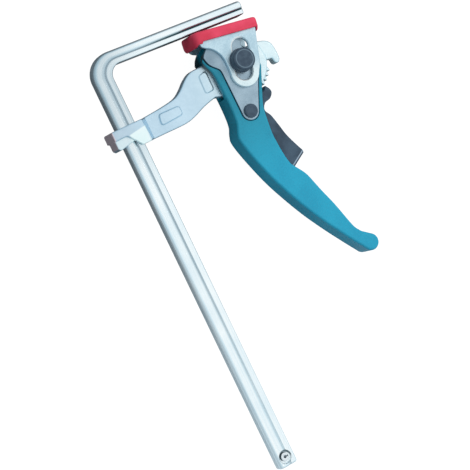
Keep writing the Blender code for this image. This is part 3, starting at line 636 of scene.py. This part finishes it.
def forge(piece, finish, passes):
    """Rounds a carved piece all over, as a die or a mould leaves it, and gives its finish."""
    skin = piece.modifiers.new("rounded skin", "REMESH")
    skin.mode = "VOXEL"
    skin.voxel_size = 0.33 * MM
    relax = piece.modifiers.new("rounded edges", "SMOOTH")
    relax.factor = 0.5
    relax.iterations = passes
    settle(piece, 60.0)
    piece.modifiers.clear()
    piece.data.materials.clear()
    piece.data.materials.append(finish)


forged_zinc, shader, place = new_finish("forged zinc plate", (0.6, 0.7, 0.77), 0.36, 0.85)
skin = place.noise(420.0, 4.0)
cloud = place.noise(70.0, 3.0)
patchy = (cloud * 0.7 + skin * 0.3).between(0.3, 0.7)
collar_tone = patchy.mix((0.45, 0.585, 0.69), (0.54, 0.68, 0.775))
arm_tone = patchy.mix((0.49, 0.66, 0.78), (0.60, 0.77, 0.88))
# The hub is painted brighter, a painted highlight.
hub_highlight = patchy.mix((0.66, 0.84, 0.90), (0.80, 0.94, 0.97))
tone = place.axis("X").between(-0.006, 0.012).mix(collar_tone, arm_tone)
tone = place.axis("X").between(0.035, 0.085).mix(tone, hub_highlight)
# The facet at the collar's foot and the step below it carry a painted highlight, and the outer
# wall a light brown painted reflection. The facet lies below a crease that rises along the arm.
crease_slope = 0.138
crease_start = 0.21547
from_crease = place.axis("X") * crease_slope - place.axis("Y") + crease_start
brightened = (from_crease.between(-0.0002, 0.0006) * place.axis("X").between(-0.003, -0.001)
          * (1.0 - place.axis("X").between(0.0088, 0.0102)))
step_highlight = (place.axis("Z").between(0.0056, 0.006)
            * (1.0 - place.axis("Z").between(0.0063, 0.0066))
            * (1.0 - place.axis("X").between(0.0005, 0.0015)))
brightened = brightened.math("MAXIMUM", step_highlight * 0.6)
tone = brightened.mix(tone, patchy.mix((0.80, 0.95, 0.95), (0.92, 0.99, 0.99)))
# The outer wall is painted light brown, a painted reflection.
outer_wall_reflection = 1.0 - place.axis("X").between(-0.0112, -0.0108)
feed(shader, "Base Color", outer_wall_reflection.mix(tone, (0.93, 0.74, 0.78)))
feed(shader, "Roughness", skin * 0.12 + cloud * 0.14 + 0.22)
bump(shader, skin, 0.2, 0.0003)

hook = flow(mm((18.3, 6.6), (21.9, 5.6), (24.8, 4.0), (26.6, 1.2), (27.3, -4.3), (27.0, -8.6)), 4)
hook += flow(mm((26.0, -10.0), (24.2, -10.2), (22.9, -9.0), (22.5, -6.4)), 3)
under = arc((0, 0), 18.8 * MM, -18.0, -112.0, 24)
lower = flow(mm((-21.4, -13.2), (-29.6, -15.1), (-38.0, -18.2), (-45.0, -19.8), (-56.0, -19.9)), 5)
upper = flow(mm((-56.0, -5.0), (-45.6, -3.5), (-40.0, -0.6), (-34.6, 3.8), (-29.6, 6.5),
                (-24.0, 7.1)), 5)
jaw = slab("jaw_forging", hook + under + lower + mm((-72.0, -19.9), (-72.0, -6.3)) + upper,
           -ARM_HALF, ARM_HALF, 1.1 * MM)
hub = arc((0, 0), 19.4 * MM, -14.0, -118.0, 30)
hub += mm((-13.6, -6.0), (-13.6, 5.6)) + arc((0, 0), 11.4 * MM, 140.0, 30.0, 16) + mm((17.6, 4.4))
hub_step = slab("hub step", ease(hub, 1.5 * MM), -HUB_HALF, HUB_HALF, 0.5 * MM)
teeth = arc((0, 0), 16.4 * MM, -27.0, TOOTH_START, 8)
for index in range(TEETH):
    start = TOOTH_START + index * TOOTH_PITCH
    teeth += [polar(19.4 * MM, start), polar(21.7 * MM, start + 0.6), polar(21.7 * MM, start + 2.4)]
teeth.append(polar(19.4 * MM, TOOTH_START + TEETH * TOOTH_PITCH))
ratchet = slab("ratchet", teeth, -TEETH_HALF, TEETH_HALF, 0.2 * MM, steps=2)
long_pad = slab("long pad", ease(mm((-59.0, -8.1), (-45.2, -8.4), (-45.0, -13.9), (-60.2, -14.9)),
                                 1.8 * MM), -LONG_PAD_HALF, LONG_PAD_HALF, 0.6 * MM)
short_pad = slab("short pad", ease(mm((-26.0, 2.2), (-20.6, 3.6), (-20.6, -8.6), (-26.4, -9.0)),
                                   1.6 * MM), -SHORT_PAD_HALF, SHORT_PAD_HALF, 0.5 * MM)

left = -91.69
shoulder = -71.3
foot = shoulder + 4.0
collar_plan = ease(mm((left, -COLLAR_HALF), (shoulder, -COLLAR_HALF), (foot, -3.4), (foot, 3.4),
                      (shoulder, COLLAR_HALF), (left, COLLAR_HALF)), 1.1 * MM)
rings = []
for inset, y in ((0.8, -20.0), (0.25, -19.7), (0.0, -19.1), (0.0, -6.9), (0.25, -6.3), (0.8, -6.05)):
    ring = []
    for point in inset_outline(tidy(collar_plan), inset * MM):
        ring.append((PIVOT.x + point.x, PIVOT.y + y * MM, point.y))
    rings.append(ring)
collar = add_piece("collar", loft(rings), None)
skew = slab("skewed edge", ease(mm((-95.0, -12.0), (-84.4, -11.5), (-83.2, -11.8), (-75.6, -20.4),
                                   (-75.6, -24.0), (-95.0, -24.0)), 0.6 * MM), -17 * MM, 17 * MM)
facets = []
for side in (1.0, -1.0):
    near_bar, near_arm, below = [
        Vector((PIVOT.x + x * MM, PIVOT.y + y * MM, side * z * MM))
        for x, y, z in ((-83.0, -11.8, COLLAR_HALF), (-72.1, -10.3, COLLAR_HALF),
                        (-75.1, -19.8, 6.3))]
    along = (near_arm - near_bar).normalized()
    out = along.cross(below - near_bar).normalized()
    if out.z * side < 0.0:
        out.negate()
    down = out.cross(along)
    rings = [[near_bar + (along * forward + down * lower + out * rise) * MM
              for forward, lower in ((-30.0, -30.0), (50.0, -30.0), (50.0, 30.0), (-30.0, 30.0))]
             for rise in (0.0, 20.0)]
    facets.append(add_piece("lower facet", loft(rings), None))
carve(collar, skew, *facets)
lug = slab("collar lug", ease(mm((-91.2, -10.4), (-80.6, -10.4), (-79.8, -12.4), (-79.6, -15.8),
                                 (-89.8, -17.9), (-91.2, -16.4)), 0.8 * MM),
           -LUG_HALF, LUG_HALF, 0.6 * MM)
carve(jaw, hub_step, long_pad, short_pad, collar, lug, ratchet, operation="UNION")

passage = ease(mm((-6.35, -4.85), (6.35, -4.85), (6.35, 4.85), (-6.35, 4.85)), 0.8 * MM)
rings = [[(point.x, y, point.y) for point in passage] for y in (0.15, 0.27)]
carve(jaw, add_piece("passage", loft(rings), None),
      round_bar("pivot bore", HUB_BORE, PIVOT, -12 * MM, 12 * MM))
forge(jaw, forged_zinc, 3)
dress(jaw, "slider", "sliding_jaw")


# Bush: a turned bearing sleeve, pressed into the hub round the screw. The lever's fork turns
# on its two ends.


def lathe(name, profile, finish, at=PIVOT, segments=64):
    """A closed profile of (radius, z) in mm, spun round the z axis."""
    shape = bmesh.new()
    columns = []
    for step in range(segments):
        angle = 2.0 * math.pi * step / segments
        out = Vector((math.cos(angle), math.sin(angle)))
        columns.append([shape.verts.new((*(at + out * radius * MM), z * MM))
                        for radius, z in profile])
    count = len(profile)
    for step in range(segments):
        here = columns[step]
        there = columns[(step + 1) % segments]
        for index in range(count):
            after = (index + 1) % count
            corners = [here[index], there[index], there[after], here[after]]
            if profile[index][0] == 0.0 and profile[after][0] == 0.0:
                continue
            shape.faces.new(corners)
    bmesh.ops.remove_doubles(shape, verts=shape.verts, dist=1e-6)
    bmesh.ops.dissolve_degenerate(shape, dist=1e-7, edges=shape.edges)
    return add_piece(name, shape, finish)


bush_bronze, shader, place = new_finish("bush bronze", (0.5, 0.33, 0.14), 0.4, 0.9)
ringing = place.noise(900.0, 3.0, (1.0, 1.0, 4.0))
feed(shader, "Base Color", ringing.mix((0.40, 0.25, 0.10), (0.60, 0.42, 0.20)))
feed(shader, "Roughness", ringing * 0.3 + 0.25)
bush = lathe("bush_turned", [(4.2, -6.3), (5.4, -6.3), (5.6, -6.1), (5.6, 6.1), (5.4, 6.3),
                             (4.2, 6.3)], bush_bronze)
dress(bush, "slider", "pivot_bush")


# Lever: one pressure die casting in teal powder coat. It forks round the hub, with a
# pocket each side for a cam plate, and is a channel that opens away from the bar.
LEVER_HALF = 8.0 * MM
CHANNEL_HALF = 4.5 * MM
POCKET_FLOOR = 6.3 * MM
RIVET_HOLE = 2.8 * MM
teal_coat, shader, place = new_finish("teal powder coat", (0.008, 0.345, 0.52), 0.38, 0.0)
peel = place.noise(1100.0, 2.0)
cloud = place.noise(40.0, 3.0)
mottle = (cloud * 0.6 + peel * 0.4).between(0.35, 0.65)
height = place.axis("Z")
# A painted shadow of the pad on the lever's left wall near the head.
pad_shadow = ((1.0 - height.math("ABSOLUTE").between(6.2 * MM, 7.4 * MM))
             * (1.0 - place.axis("X").between(0.0605, 0.064)) * place.axis("Y").between(0.215, 0.222))
# Painted shade: the coat is painted darker towards the head.
head_shade = place.axis("Y").between(0.15, 0.215)
painted = head_shade.mix(mottle.mix((0.006, 0.28, 0.43), (0.011, 0.34, 0.50)),
                        mottle.mix((0.006, 0.195, 0.28), (0.011, 0.24, 0.335)))
feed(shader, "Base Color", pad_shadow.mix(painted, (0.008, 0.03, 0.04)))
shader.inputs["Specular IOR Level"].default_value = 0.36
feed(shader, "Roughness", peel * 0.12 + cloud * 0.1 + 0.27)
bump(shader, peel, 0.18, 0.0003)

head = flow([polar(out * MM, angle) for out, angle in (
    (13.4, -20.0), (10.6, 0.0), (9.0, 20.0), (8.8, 48.0), (9.8, 57.0), (11.8, 61.0), (13.2, 67.0),
    (13.8, 78.0), (17.2, 100.0), (20.6, 120.0), (21.8, 138.0), (22.8, 150.0), (23.0, 158.0))], 5)
bar_side = flow(mm((-20.6, 5.6), (-18.4, 0.2), (-17.7, -8.0), (-17.5, -22.0), (-18.2, -32.0),
                   (-20.4, -37.6), (-21.2, -42.6), (-18.4, -54.0), (-12.9, -70.5), (-7.4, -83.2),
                   (0.1, -98.2), (8.3, -112.0), (17.0, -125.2), (23.3, -134.3)), 6)
tip = arc((27.9 * MM, -131.9 * MM), 5.2 * MM, 216.0, 415.0, 20)
open_side = flow(mm((25.4, -123.4), (22.6, -119.4), (20.6, -113.6), (17.1, -101.6),
                    (12.9, -89.8), (9.9, -80.4), (7.8, -75.8), (4.2, -70.6), (2.2, -67.2),
                    (0.9, -60.5), (0.2, -52.0), (0.1, -46.4), (1.4, -34.6), (2.9, -28.3),
                    (8.2, -16.6), (12.4, -7.4)), 5)
lever = slab("lever_casting", head + bar_side + tip + open_side, -LEVER_HALF, LEVER_HALF,
             1.5 * MM, teal_coat, steps=6)
hollow = mm((-60.0, 60.0), (-60.0, -16.5), (-14.6, -16.5), (-14.5, -22.0), (-15.2, -32.0),
            (-17.6, -38.0), (-18.0, -42.6), (-15.4, -54.0), (-9.9, -70.5), (-4.4, -83.2),
            (3.1, -98.2), (11.0, -111.4), (16.0, -115.6), (60.0, -100.0), (60.0, 60.0))
cuts = [slab("channel", hollow, -CHANNEL_HALF, CHANNEL_HALF)]
pocket = arc(RIVET, 6.05 * MM, 332.0, 180.0, 18)
pocket += flow(mm((-13.6, -2.4), (-14.3, 0.3), (-18.2, 4.2), (-20.0, 7.4), (-20.5, 10.8)), 5)
pocket += mm((-32.0, 12.0), (-32.0, 40.0), (32.0, 40.0), (32.0, -2.0), (12.6, -2.0),
             (9.9, -8.2), (6.0, -15.9))
for side in (1, -1):
    low, high = sorted((side * POCKET_FLOOR, side * 1.5 * LEVER_HALF))
    cuts.append(slab("pocket", pocket, low, high))
for name, hole, at in (("fork bore", HUB_BORE, PIVOT), ("rivet hole", RIVET_HOLE, PIVOT + RIVET)):
    cuts.append(round_bar(name, hole, at, -1.5 * LEVER_HALF, 1.5 * LEVER_HALF))
carve(lever, *cuts)
dress(lever, "lever", "lever")


# Cam plates: two plates blanked from steel sheet, one in each pocket of the lever and held
# by the screw and the rivet. Their round lobes push the shoe up.
blanked_steel, shader, place = new_finish("blanked steel", (0.34, 0.42, 0.48), 0.4, 0.85)
grain = place.noise(1500.0, 4.0)
cloud = place.noise(120.0, 3.0)
blotch = (grain * 0.5 + cloud * 0.5).between(0.3, 0.7)
# A painted shadow of the shoe on the plates' left lobe.
lobe_shadow = (1.0 - place.axis("X").between(0.061, 0.071)) * place.axis("Y").between(0.222, 0.23)
feed(shader, "Base Color", lobe_shadow.mix(blotch.mix((0.29, 0.40, 0.48), (0.43, 0.56, 0.65)),
                                    blotch.mix((0.20, 0.29, 0.36), (0.31, 0.42, 0.50))))
feed(shader, "Roughness", grain * 0.3 + 0.24)
bump(shader, grain, 0.2, 0.0002)
plate = arc(RIVET, 5.3 * MM, 332.0, 180.0, 22)
plate += flow(mm((-12.9, -2.2), (-13.6, 0.6), (-17.6, 4.6), (-19.2, 7.8), (-19.8, 10.6)), 5)
plate += flow([polar(out * MM, angle) for out, angle in (
    (22.4, 148.0), (21.8, 138.0), (20.8, 120.0), (16.6, 100.0), (13.8, 78.0), (13.4, 67.0),
    (12.2, 60.0), (10.0, 56.5), (8.6, 46.0), (8.6, 20.0), (9.6, 0.0), (11.2, -18.0),
    (12.4, -38.0))], 5)
plate += mm((5.4, -15.5))
for name, side in (("front", 1), ("back", -1)):
    low, high = sorted((side * (POCKET_FLOOR + 0.3 * MM), side * (POCKET_FLOOR + 2.3 * MM)))
    blank = slab("cam_blank_" + name, plate, low, high, 0.3 * MM, blanked_steel, steps=3)
    carve(blank, round_bar("screw hole", 4.2 * MM, PIVOT, -15 * MM, 15 * MM),
          round_bar("rivet hole", RIVET_HOLE, PIVOT + RIVET, -15 * MM, 15 * MM))
    dress(blank, "lever", "cam_plate_" + name)


# Rivet and pivot screw: both turned from steel and blackened. The rivet has a low head at
# each end, and the screw a tall one with a painted highlight ring near the rim of its face.
black_oxide, shader, place = new_finish("black oxide", (0.03, 0.045, 0.06), 0.44, 0.35)
cloud = place.noise(350.0, 4.0)
scuff = place.noise(2600.0, 2.0)
from_axis = place.far_from(*PIVOT)
# A painted highlight ring near the rim of the screw's face.
rim_highlight = from_axis.between(4.9 * MM, 5.25 * MM) * (1.0 - from_axis.between(5.4 * MM, 5.8 * MM))
rim_highlight = rim_highlight * place.axis("Z").between(16.0 * MM, 17.0 * MM)
feed(shader, "Base Color", rim_highlight.mix(
    cloud.between(0.3, 0.72).mix((0.032, 0.056, 0.088), (0.058, 0.092, 0.13)), (0.13, 0.19, 0.24)))
feed(shader, "Roughness", cloud * 0.3 + scuff * 0.15 + 0.22)
bump(shader, scuff, 0.2, 0.0002)
half = [(2.5, 8.9), (4.05, 8.9), (4.2, 9.05), (4.2, 9.7), (4.05, 10.1), (3.7, 10.33),
        (3.2, 10.4), (0.0, 10.4)]
rivet = lathe("rivet_headed", [(out, -z) for out, z in reversed(half)] + half, black_oxide,
              PIVOT + RIVET, 48)
dress(rivet, "lever", "lever_rivet")

top = 17.7
profile = [(0.0, -18.2), (3.4, -18.2), (3.9, -17.7), (3.9, 11.4), (7.1, 11.4), (7.3, 11.6),
           (7.3, 12.1), (7.1, 12.35), (6.9, 12.45), (6.85, top - 1.0), (6.7, top - 0.65),
           (6.35, top - 0.35), (5.8, top - 0.12), (5.35, top - 0.02), (5.1, top), (0.0, top)]
screw = lathe("screw_turned", profile, black_oxide, PIVOT, 72)
dress(screw, "pivot", "pivot_screw")


# Washer and lock nut: plain steel, on the back end of the pivot screw. The nut is screwed on,
# and the washer lies between it and the shoe's back cheek.
washer = lathe("washer_flat", [(4.2, -12.6), (7.3, -12.6), (7.6, -12.3), (7.6, -11.7),
                               (7.3, -11.4), (4.2, -11.4)], blanked_steel, PIVOT, 48)
dress(washer, "pivot", "pivot_washer")
hexagon = arc((0, 0), 7.2 * MM, 0.0, 300.0, 5)
nut = slab("nut_hexagon", hexagon, -17.7 * MM, -12.9 * MM, 0.5 * MM, blanked_steel, steps=3)
carve(nut, round_bar("thread hole", 4.0 * MM, PIVOT, -20 * MM, -10 * MM))
dress(nut, "pivot", "pivot_nut")


# Trigger: a black die casting on the rivet, its nose in the saw teeth and its finger plate
# standing out of the lever's channel.
trigger_black, shader, place = new_finish("trigger black", (0.03, 0.042, 0.07), 0.5, 0.1)
cloud = place.noise(160.0, 4.0)
peel = place.noise(1500.0, 2.0)
end_turn = math.radians(60.25)
to_end = ((place.axis("X") - PIVOT.x - 14.4 * MM) * math.cos(end_turn)
          - (place.axis("Y") - PIVOT.y + 65.6 * MM) * math.sin(end_turn))
# A painted highlight line along the finger plate's end edge.
rim_highlight = to_end.between(-1.9 * MM, -1.4 * MM) * (1.0 - to_end.between(-1.3 * MM, -0.8 * MM))
rim_highlight = rim_highlight * place.axis("Z").between(3.0 * MM, 3.8 * MM)
feed(shader, "Base Color", rim_highlight.mix(
    cloud.between(0.3, 0.7).mix((0.020, 0.042, 0.070), (0.044, 0.080, 0.120)), (0.32, 0.4, 0.48)))
feed(shader, "Roughness", peel * 0.2 + 0.36)
bump(shader, peel, 0.3, 0.0003)
outline = flow(mm((10.4, -19.6), (12.2, -22.2), (12.4, -24.8), (9.8, -27.6), (5.6, -28.8),
                  (3.4, -32.6), (5.7, -37.0), (7.6, -44.2), (9.4, -51.6), (12.5, -59.3),
                  (14.8, -64.2)), 4)
outline += mm((14.4, -65.6), (4.6, -71.2), (-0.6, -66.4), (-4.8, -55.0), (-8.8, -42.0),
              (-11.6, -34.0))
outline += arc(RIVET, 4.9 * MM, 190.0, 80.0, 12) + mm((-2.6, -23.6), (3.0, -22.8), (8.6, -21.6))
trigger = slab("trigger_casting", outline, -4.2 * MM, 4.2 * MM, 0.7 * MM, trigger_black)
carve(trigger, round_bar("spring seat", 5.9 * MM, PIVOT + RIVET, 1.9 * MM, 9 * MM),
      round_bar("rivet bore", RIVET_HOLE, PIVOT + RIVET, -9 * MM, 9 * MM))
dress(trigger, "trigger", "trigger")


# Shoe: sheet steel blanked, slotted in both cheeks, folded into a channel and zinc plated.
# It swivels and rises on the screw, and its web carries the pad.
SHOE_TURN = math.radians(-8.2)
# In plain mm, as outlines are.
WEB_TOP = 21.1
# In degrees, from the cheek's upright line.
SLOT_LEAN = 9.8
CHEEK_INNER = 8.9 * MM
CHEEK_OUTER = 11.1 * MM
SLOT_RADIUS = 5.3 * MM
SLOT_HALF = 7.3 * MM
SLOT_SHIFT = 1.1 * MM
FLARE = 1.6 * MM
satin_zinc, shader, place = new_finish("satin zinc sheet", (0.55, 0.65, 0.73), 0.4, 0.85)
cloud = place.noise(90.0, 3.0)
grain = place.noise(1300.0, 3.0)
# The sheet is lighter below the pivot and darker above it.
brightened = 1.0 - place.axis("Y").between(0.2165, 0.226)
blotch = (cloud * 0.6 + grain * 0.4).between(0.33, 0.67)
rolled = brightened.mix(blotch.mix((0.43, 0.61, 0.71), (0.63, 0.81, 0.89)),
                    blotch.mix((0.62, 0.77, 0.82), (0.8, 0.92, 0.94)))
# A painted highlight lies on the slot's flared lip on the pad's side, and painted shade
# darkens the back cheek's inside.
right, up = [place.axis(name) - middle for name, middle in zip("XY", PIVOT)]
slot_turn = SHOE_TURN - math.radians(SLOT_LEAN)
along_slot = up * math.cos(slot_turn) - right * math.sin(slot_turn) - SLOT_SHIFT
across_slot = right * math.cos(slot_turn) + up * math.sin(slot_turn) - SLOT_SHIFT
beyond_ends = (along_slot.math("ABSOLUTE") - SLOT_HALF).math("MAXIMUM", 0.0)
slot_far = (beyond_ends * beyond_ends + across_slot * across_slot).math("SQRT")
lip_highlight = (1.0 - slot_far.between(5.9 * MM, 6.4 * MM)) * place.axis("Z").between(9.0 * MM, 10.2 * MM)
lip_highlight = lip_highlight * (1.0 - across_slot.between(-1.0 * MM, 3.0 * MM))
# Painted shade on the back cheek's inside.
back_cheek_shade = ((1.0 - place.axis("Z").between(-2.0 * MM, 4.0 * MM))
          * (1.0 - place.axis("X").between(0.058, 0.062)))
feed(shader, "Base Color", back_cheek_shade.mix(lip_highlight.mix(rolled, (0.96, 0.98, 0.98)), (0.14, 0.13, 0.14)))
feed(shader, "Roughness", grain * 0.2 + cloud * 0.2 + 0.2)
bump(shader, grain, 0.2, 0.0002)
cheek = mm((-22.4, WEB_TOP))
cheek += flow(mm((-22.0, 17.4), (-21.4, 14.4), (-19.6, 12.9), (-16.0, 11.6), (-13.0, 9.2),
                 (-10.9, 6.4), (-9.6, 3.2), (-8.9, -0.6)), 4)
cheek += arc((0.5 * MM, -7.0 * MM), 9.0 * MM, 172.0, 345.0, 26)
cheek += flow(mm((10.6, -6.4), (11.9, -2.8), (13.3, 5.6), (15.2, 15.0)), 4)
cheek += mm((16.1, WEB_TOP))
shoe = slab("shoe_folded", cheek, -CHEEK_OUTER, CHEEK_OUTER, 0.6 * MM, satin_zinc, turn=SHOE_TURN,
            steps=3)
inside = slab("inside", mm((-60, -60), (60, -60), (60, 18.9), (-60, 18.9)), -CHEEK_INNER,
              CHEEK_INNER, turn=SHOE_TURN)
slot_across = polar(1.0, -SLOT_LEAN)
slot_along = polar(1.0, 90.0 - SLOT_LEAN)
slot = []
for end, start in ((SLOT_HALF, 0.0), (-SLOT_HALF, 180.0)):
    middle = slot_along * (SLOT_SHIFT + end) + slot_across * SLOT_SHIFT
    slot += arc(middle, SLOT_RADIUS, start - SLOT_LEAN, start + 180.0 - SLOT_LEAN, 18)
spin = Matrix.Rotation(SHOE_TURN, 2)
rings = []
for wider, z in ((FLARE, -11.7), (0.0, -10.6), (0.0, 10.6), (FLARE, 11.7)):
    ring = [spin @ point + PIVOT for point in inset_outline(tidy(slot), -wider)]
    rings.append([(*point, z * MM) for point in ring])
slots = add_piece("slots", loft(rings), None)
carve(shoe, inside, slots)
dress(shoe, "shoe", "shoe")


# Pad: a soft red moulding slipped over the shoe's web. Its short flanges hold the cheeks, and
# a deeper wall with rounded corners closes the end towards the bar. Its sizes are in plain mm.
PAD_TOP = 23.1
PAD_DEPTH = 9.1
PAD_HALF = 13.0
FLANGE = 6.3
END_WALL = -19.6
CORNER_ROUND = 5.0
red_moulding, shader, place = new_finish("red moulding", (0.72, 0.045, 0.105), 0.5, 0.0)
cloud = place.noise(60.0, 3.0)
fine = place.noise(900.0, 2.0)
feed(shader, "Base Color", cloud.between(0.3, 0.7).mix((0.61, 0.034, 0.072), (0.79, 0.066, 0.128)))
feed(shader, "Roughness", fine * 0.15 + cloud * 0.15 + 0.36)
bump(shader, fine, 0.15, 0.0003)
shader.inputs["Specular IOR Level"].default_value = 0.3
pad_plan = ease(mm((-24.7, -PAD_HALF), (18.0, -PAD_HALF), (18.0, PAD_HALF), (-24.7, PAD_HALF)),
                CORNER_ROUND * MM, 10)
levels = rim(3.3 * MM, (PAD_TOP - PAD_DEPTH) * MM, 7) + rim(-1.6 * MM, PAD_TOP * MM, 7)
hang = Matrix.Translation((*PIVOT, 0.0)) @ Matrix.Rotation(SHOE_TURN, 4, "Z")
rings = [[hang @ Vector((point.x, y, point.y)) for point in inset_outline(tidy(pad_plan), inset)]
         for inset, y in levels]
pad = add_piece("pad_moulded", loft(rings), red_moulding)
tools = [slab("cavity", mm((-22.7, -12), (16.4, -12), (16.4, 21.4), (-22.7, 21.4)),
              -CHEEK_OUTER - 0.3 * MM, CHEEK_OUTER + 0.3 * MM, turn=SHOE_TURN)]
corner_at = (PAD_HALF - CORNER_ROUND, PAD_TOP - PAD_DEPTH + CORNER_ROUND)
corner = [(30.0, PAD_TOP - 4.0), (PAD_HALF + 0.2, PAD_TOP - 4.0)]
corner += [tuple(point) for point in arc(corner_at, CORNER_ROUND, -8.0, -84.0, 8)]
corner += [(8.3, -11.0), (30.0, -11.0)]
for side in (1, -1):
    low, high = sorted((side * 9.6 * MM, side * 30.0 * MM))
    tools.append(slab("flange edge", mm((END_WALL, -12), (60, -12), (60, PAD_TOP - FLANGE),
                                        (END_WALL, PAD_TOP - FLANGE)), low, high, turn=SHOE_TURN))
    rings = [[hang @ Vector((x * MM, y * MM, side * z * MM)) for z, y in corner]
             for x in (-50.0, END_WALL + 0.4)]
    tools.append(add_piece("end corner", loft(rings), None))
carve(pad, *tools)
forge(pad, red_moulding, 12)
dress(pad, "shoe", "pad")


# Trigger spring: a torsion spring wound from round spring-steel wire. It sits on the rivet, in
# the trigger's seat, and turns the pawl into the teeth.


def winding(turns, radius, rise, wire):
    """A coil of round wire; grow hands its four sizes in as Wires."""
    coil = turns.node("GeometryNodeCurveSpiral", None,
                      {"Resolution": 40, "Rotations": turns, "Start Radius": radius,
                       "End Radius": radius, "Height": rise})
    section = turns.node("GeometryNodeCurvePrimitiveCircle", None, {"Resolution": 14, "Radius": wire})
    return coil.node("GeometryNodeCurveToMesh", None,
                     {"Curve": coil, "Profile Curve": section, "Fill Caps": True})


spring = grow("spring_wound", {"Turns": 1.5, "Coil radius": 3.5 * MM, "Rise": 1.1 * MM,
                               "Wire radius": 0.45 * MM}, spring_steel, winding)
spring.data.transform(Matrix.Translation((PIVOT.x + RIVET.x, PIVOT.y + RIVET.y, 2.65 * MM)))
dress(spring, "lever", "trigger_spring")
